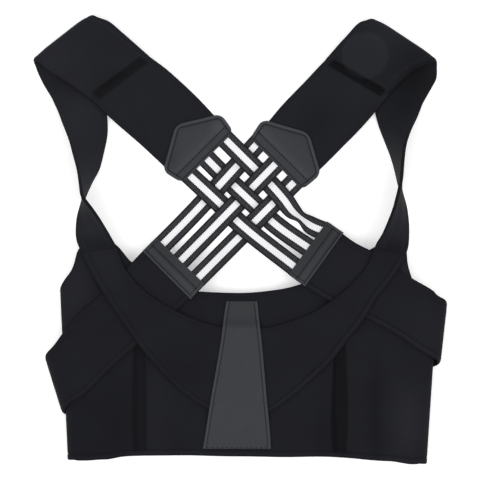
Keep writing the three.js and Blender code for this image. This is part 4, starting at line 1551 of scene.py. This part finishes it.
class BraceSizes(bpy.types.PropertyGroup):
    """Walls and stitches"""

    band_wall: length("Band wall", "Thickness of the waist band's cloth", BAND_WALL)
    strap_wall: length("Strap wall", "Thickness of the wrap straps and the yoke", STRAP_WALL)
    pad_wall: length("Pad wall", "Thickness of the shoulder straps at their edges", PAD_WALL)
    elastic_wall: length("Elastic wall", "Thickness of the elastic bands", ELASTIC_WALL)
    stripe_width: length("Stripe width", "Width of the pale stripe along each elastic band", 7.0)
    stitch_pitch: length("Stitch pitch", "Distance from one stitch to the next", 3.4)
    stitch_length: length("Stitch length", "Length of one stitch", 2.4)
    thread_radius: length("Thread radius", "Half the thickness of the sewing thread", 0.3)
    coarse_pitch: length("Coarse pitch", "Distance from one stitch to the next on leather", 2.65)
    coarse_length: length("Coarse length", "Length of one stitch on leather", 1.65)
    coarse_radius: length("Coarse radius", "Half the thickness of the thread on leather", 0.7)


class BraceColours(bpy.types.PropertyGroup):
    """Colours of the materials"""

    cloth: colour("Cloth", "Knit of the band, the wrap straps and the yoke", 0.0088, 0.0089, 0.0115)
    pad_cloth: colour("Pad cloth", "Jersey over the shoulder straps", 0.0110, 0.0113, 0.0142)
    leather: colour("Leather", "Patches and strips", 0.0156, 0.0176, 0.0225)
    elastic: colour("Elastic", "Dark part of the elastic bands", 0.017, 0.0173, 0.0205)
    stripe: colour("Stripe", "Pale stripe of the elastic bands", 0.8, 0.8, 0.82)
    thread: colour("Thread", "Sewing thread", 0.006, 0.006, 0.007)
    pad_thread: colour("Pad thread", "Thread of the shoulder straps' rows", 0.03, 0.028, 0.034)


class BraceStage(bpy.types.PropertyGroup):
    """Camera, floor and lights"""

    lens: amount("Lens", "Focal length of the camera, in millimetres", 250.0, least=20.0)
    view_width: length("View width", "Width of the picture just above the floor", 528)
    floor_size: length("Floor size", "Side of the square floor", 14000)
    floor_colour: colour("Floor", "Backdrop paper", 0.9, 0.9, 0.9)
    floor_glow: amount("Floor glow", "Strength of the floor's own light", 0.34)
    dome: amount("Dome", "Strength of the light from all round", 0.98)
    side_light: amount("Side light", "Power of each softbox", 12.0, unit="POWER")


PIECES = (
    BRACE_OT_waist_band,
    BRACE_OT_stay_casings,
    BRACE_OT_wrap_straps,
    BRACE_OT_yokes,
    BRACE_OT_centre_patch,
    BRACE_OT_shoulder_straps,
    BRACE_OT_back_straps,
    BRACE_OT_cross_patches,
    BRACE_OT_strap_tips,
    BRACE_OT_elastic_lattice,
)


class BRACE_PT_pieces(bpy.types.Panel):
    """Lists the stage and the pieces of the posture corrector"""

    bl_idname = "BRACE_PT_pieces"
    bl_label = "Posture corrector"
    bl_space_type = "VIEW_3D"
    bl_region_type = "UI"
    bl_category = "Brace"

    def draw(self, context):
        layout = self.layout
        for group in (context.scene.brace_stage, context.scene.brace_sizes, context.scene.brace_colours):
            box = layout.box()
            for key in group.__annotations__:
                box.prop(group, key)
        for operator in (BRACE_OT_stage, *PIECES):
            layout.operator(operator.bl_idname)


CLASSES = (BraceSizes, BraceColours, BraceStage, BRACE_OT_stage, *PIECES, BRACE_PT_pieces)


def register():
    for cls in CLASSES:
        bpy.utils.register_class(cls)
    bpy.types.Scene.brace_sizes = bpy.props.PointerProperty(type=BraceSizes)
    bpy.types.Scene.brace_colours = bpy.props.PointerProperty(type=BraceColours)
    bpy.types.Scene.brace_stage = bpy.props.PointerProperty(type=BraceStage)


def unregister():
    del bpy.types.Scene.brace_stage
    del bpy.types.Scene.brace_colours
    del bpy.types.Scene.brace_sizes
    for cls in reversed(CLASSES):
        bpy.utils.unregister_class(cls)


def main():
    """Registers the add-on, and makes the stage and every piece."""
    register()
    bpy.ops.brace.stage()
    bpy.ops.brace.waist_band()
    bpy.ops.brace.stay_casings()
    bpy.ops.brace.wrap_straps()
    bpy.ops.brace.yokes()
    bpy.ops.brace.centre_patch()
    bpy.ops.brace.shoulder_straps()
    bpy.ops.brace.back_straps()
    bpy.ops.brace.cross_patches()
    bpy.ops.brace.strap_tips()
    bpy.ops.brace.elastic_lattice()


if __name__ == "__main__":
    main()
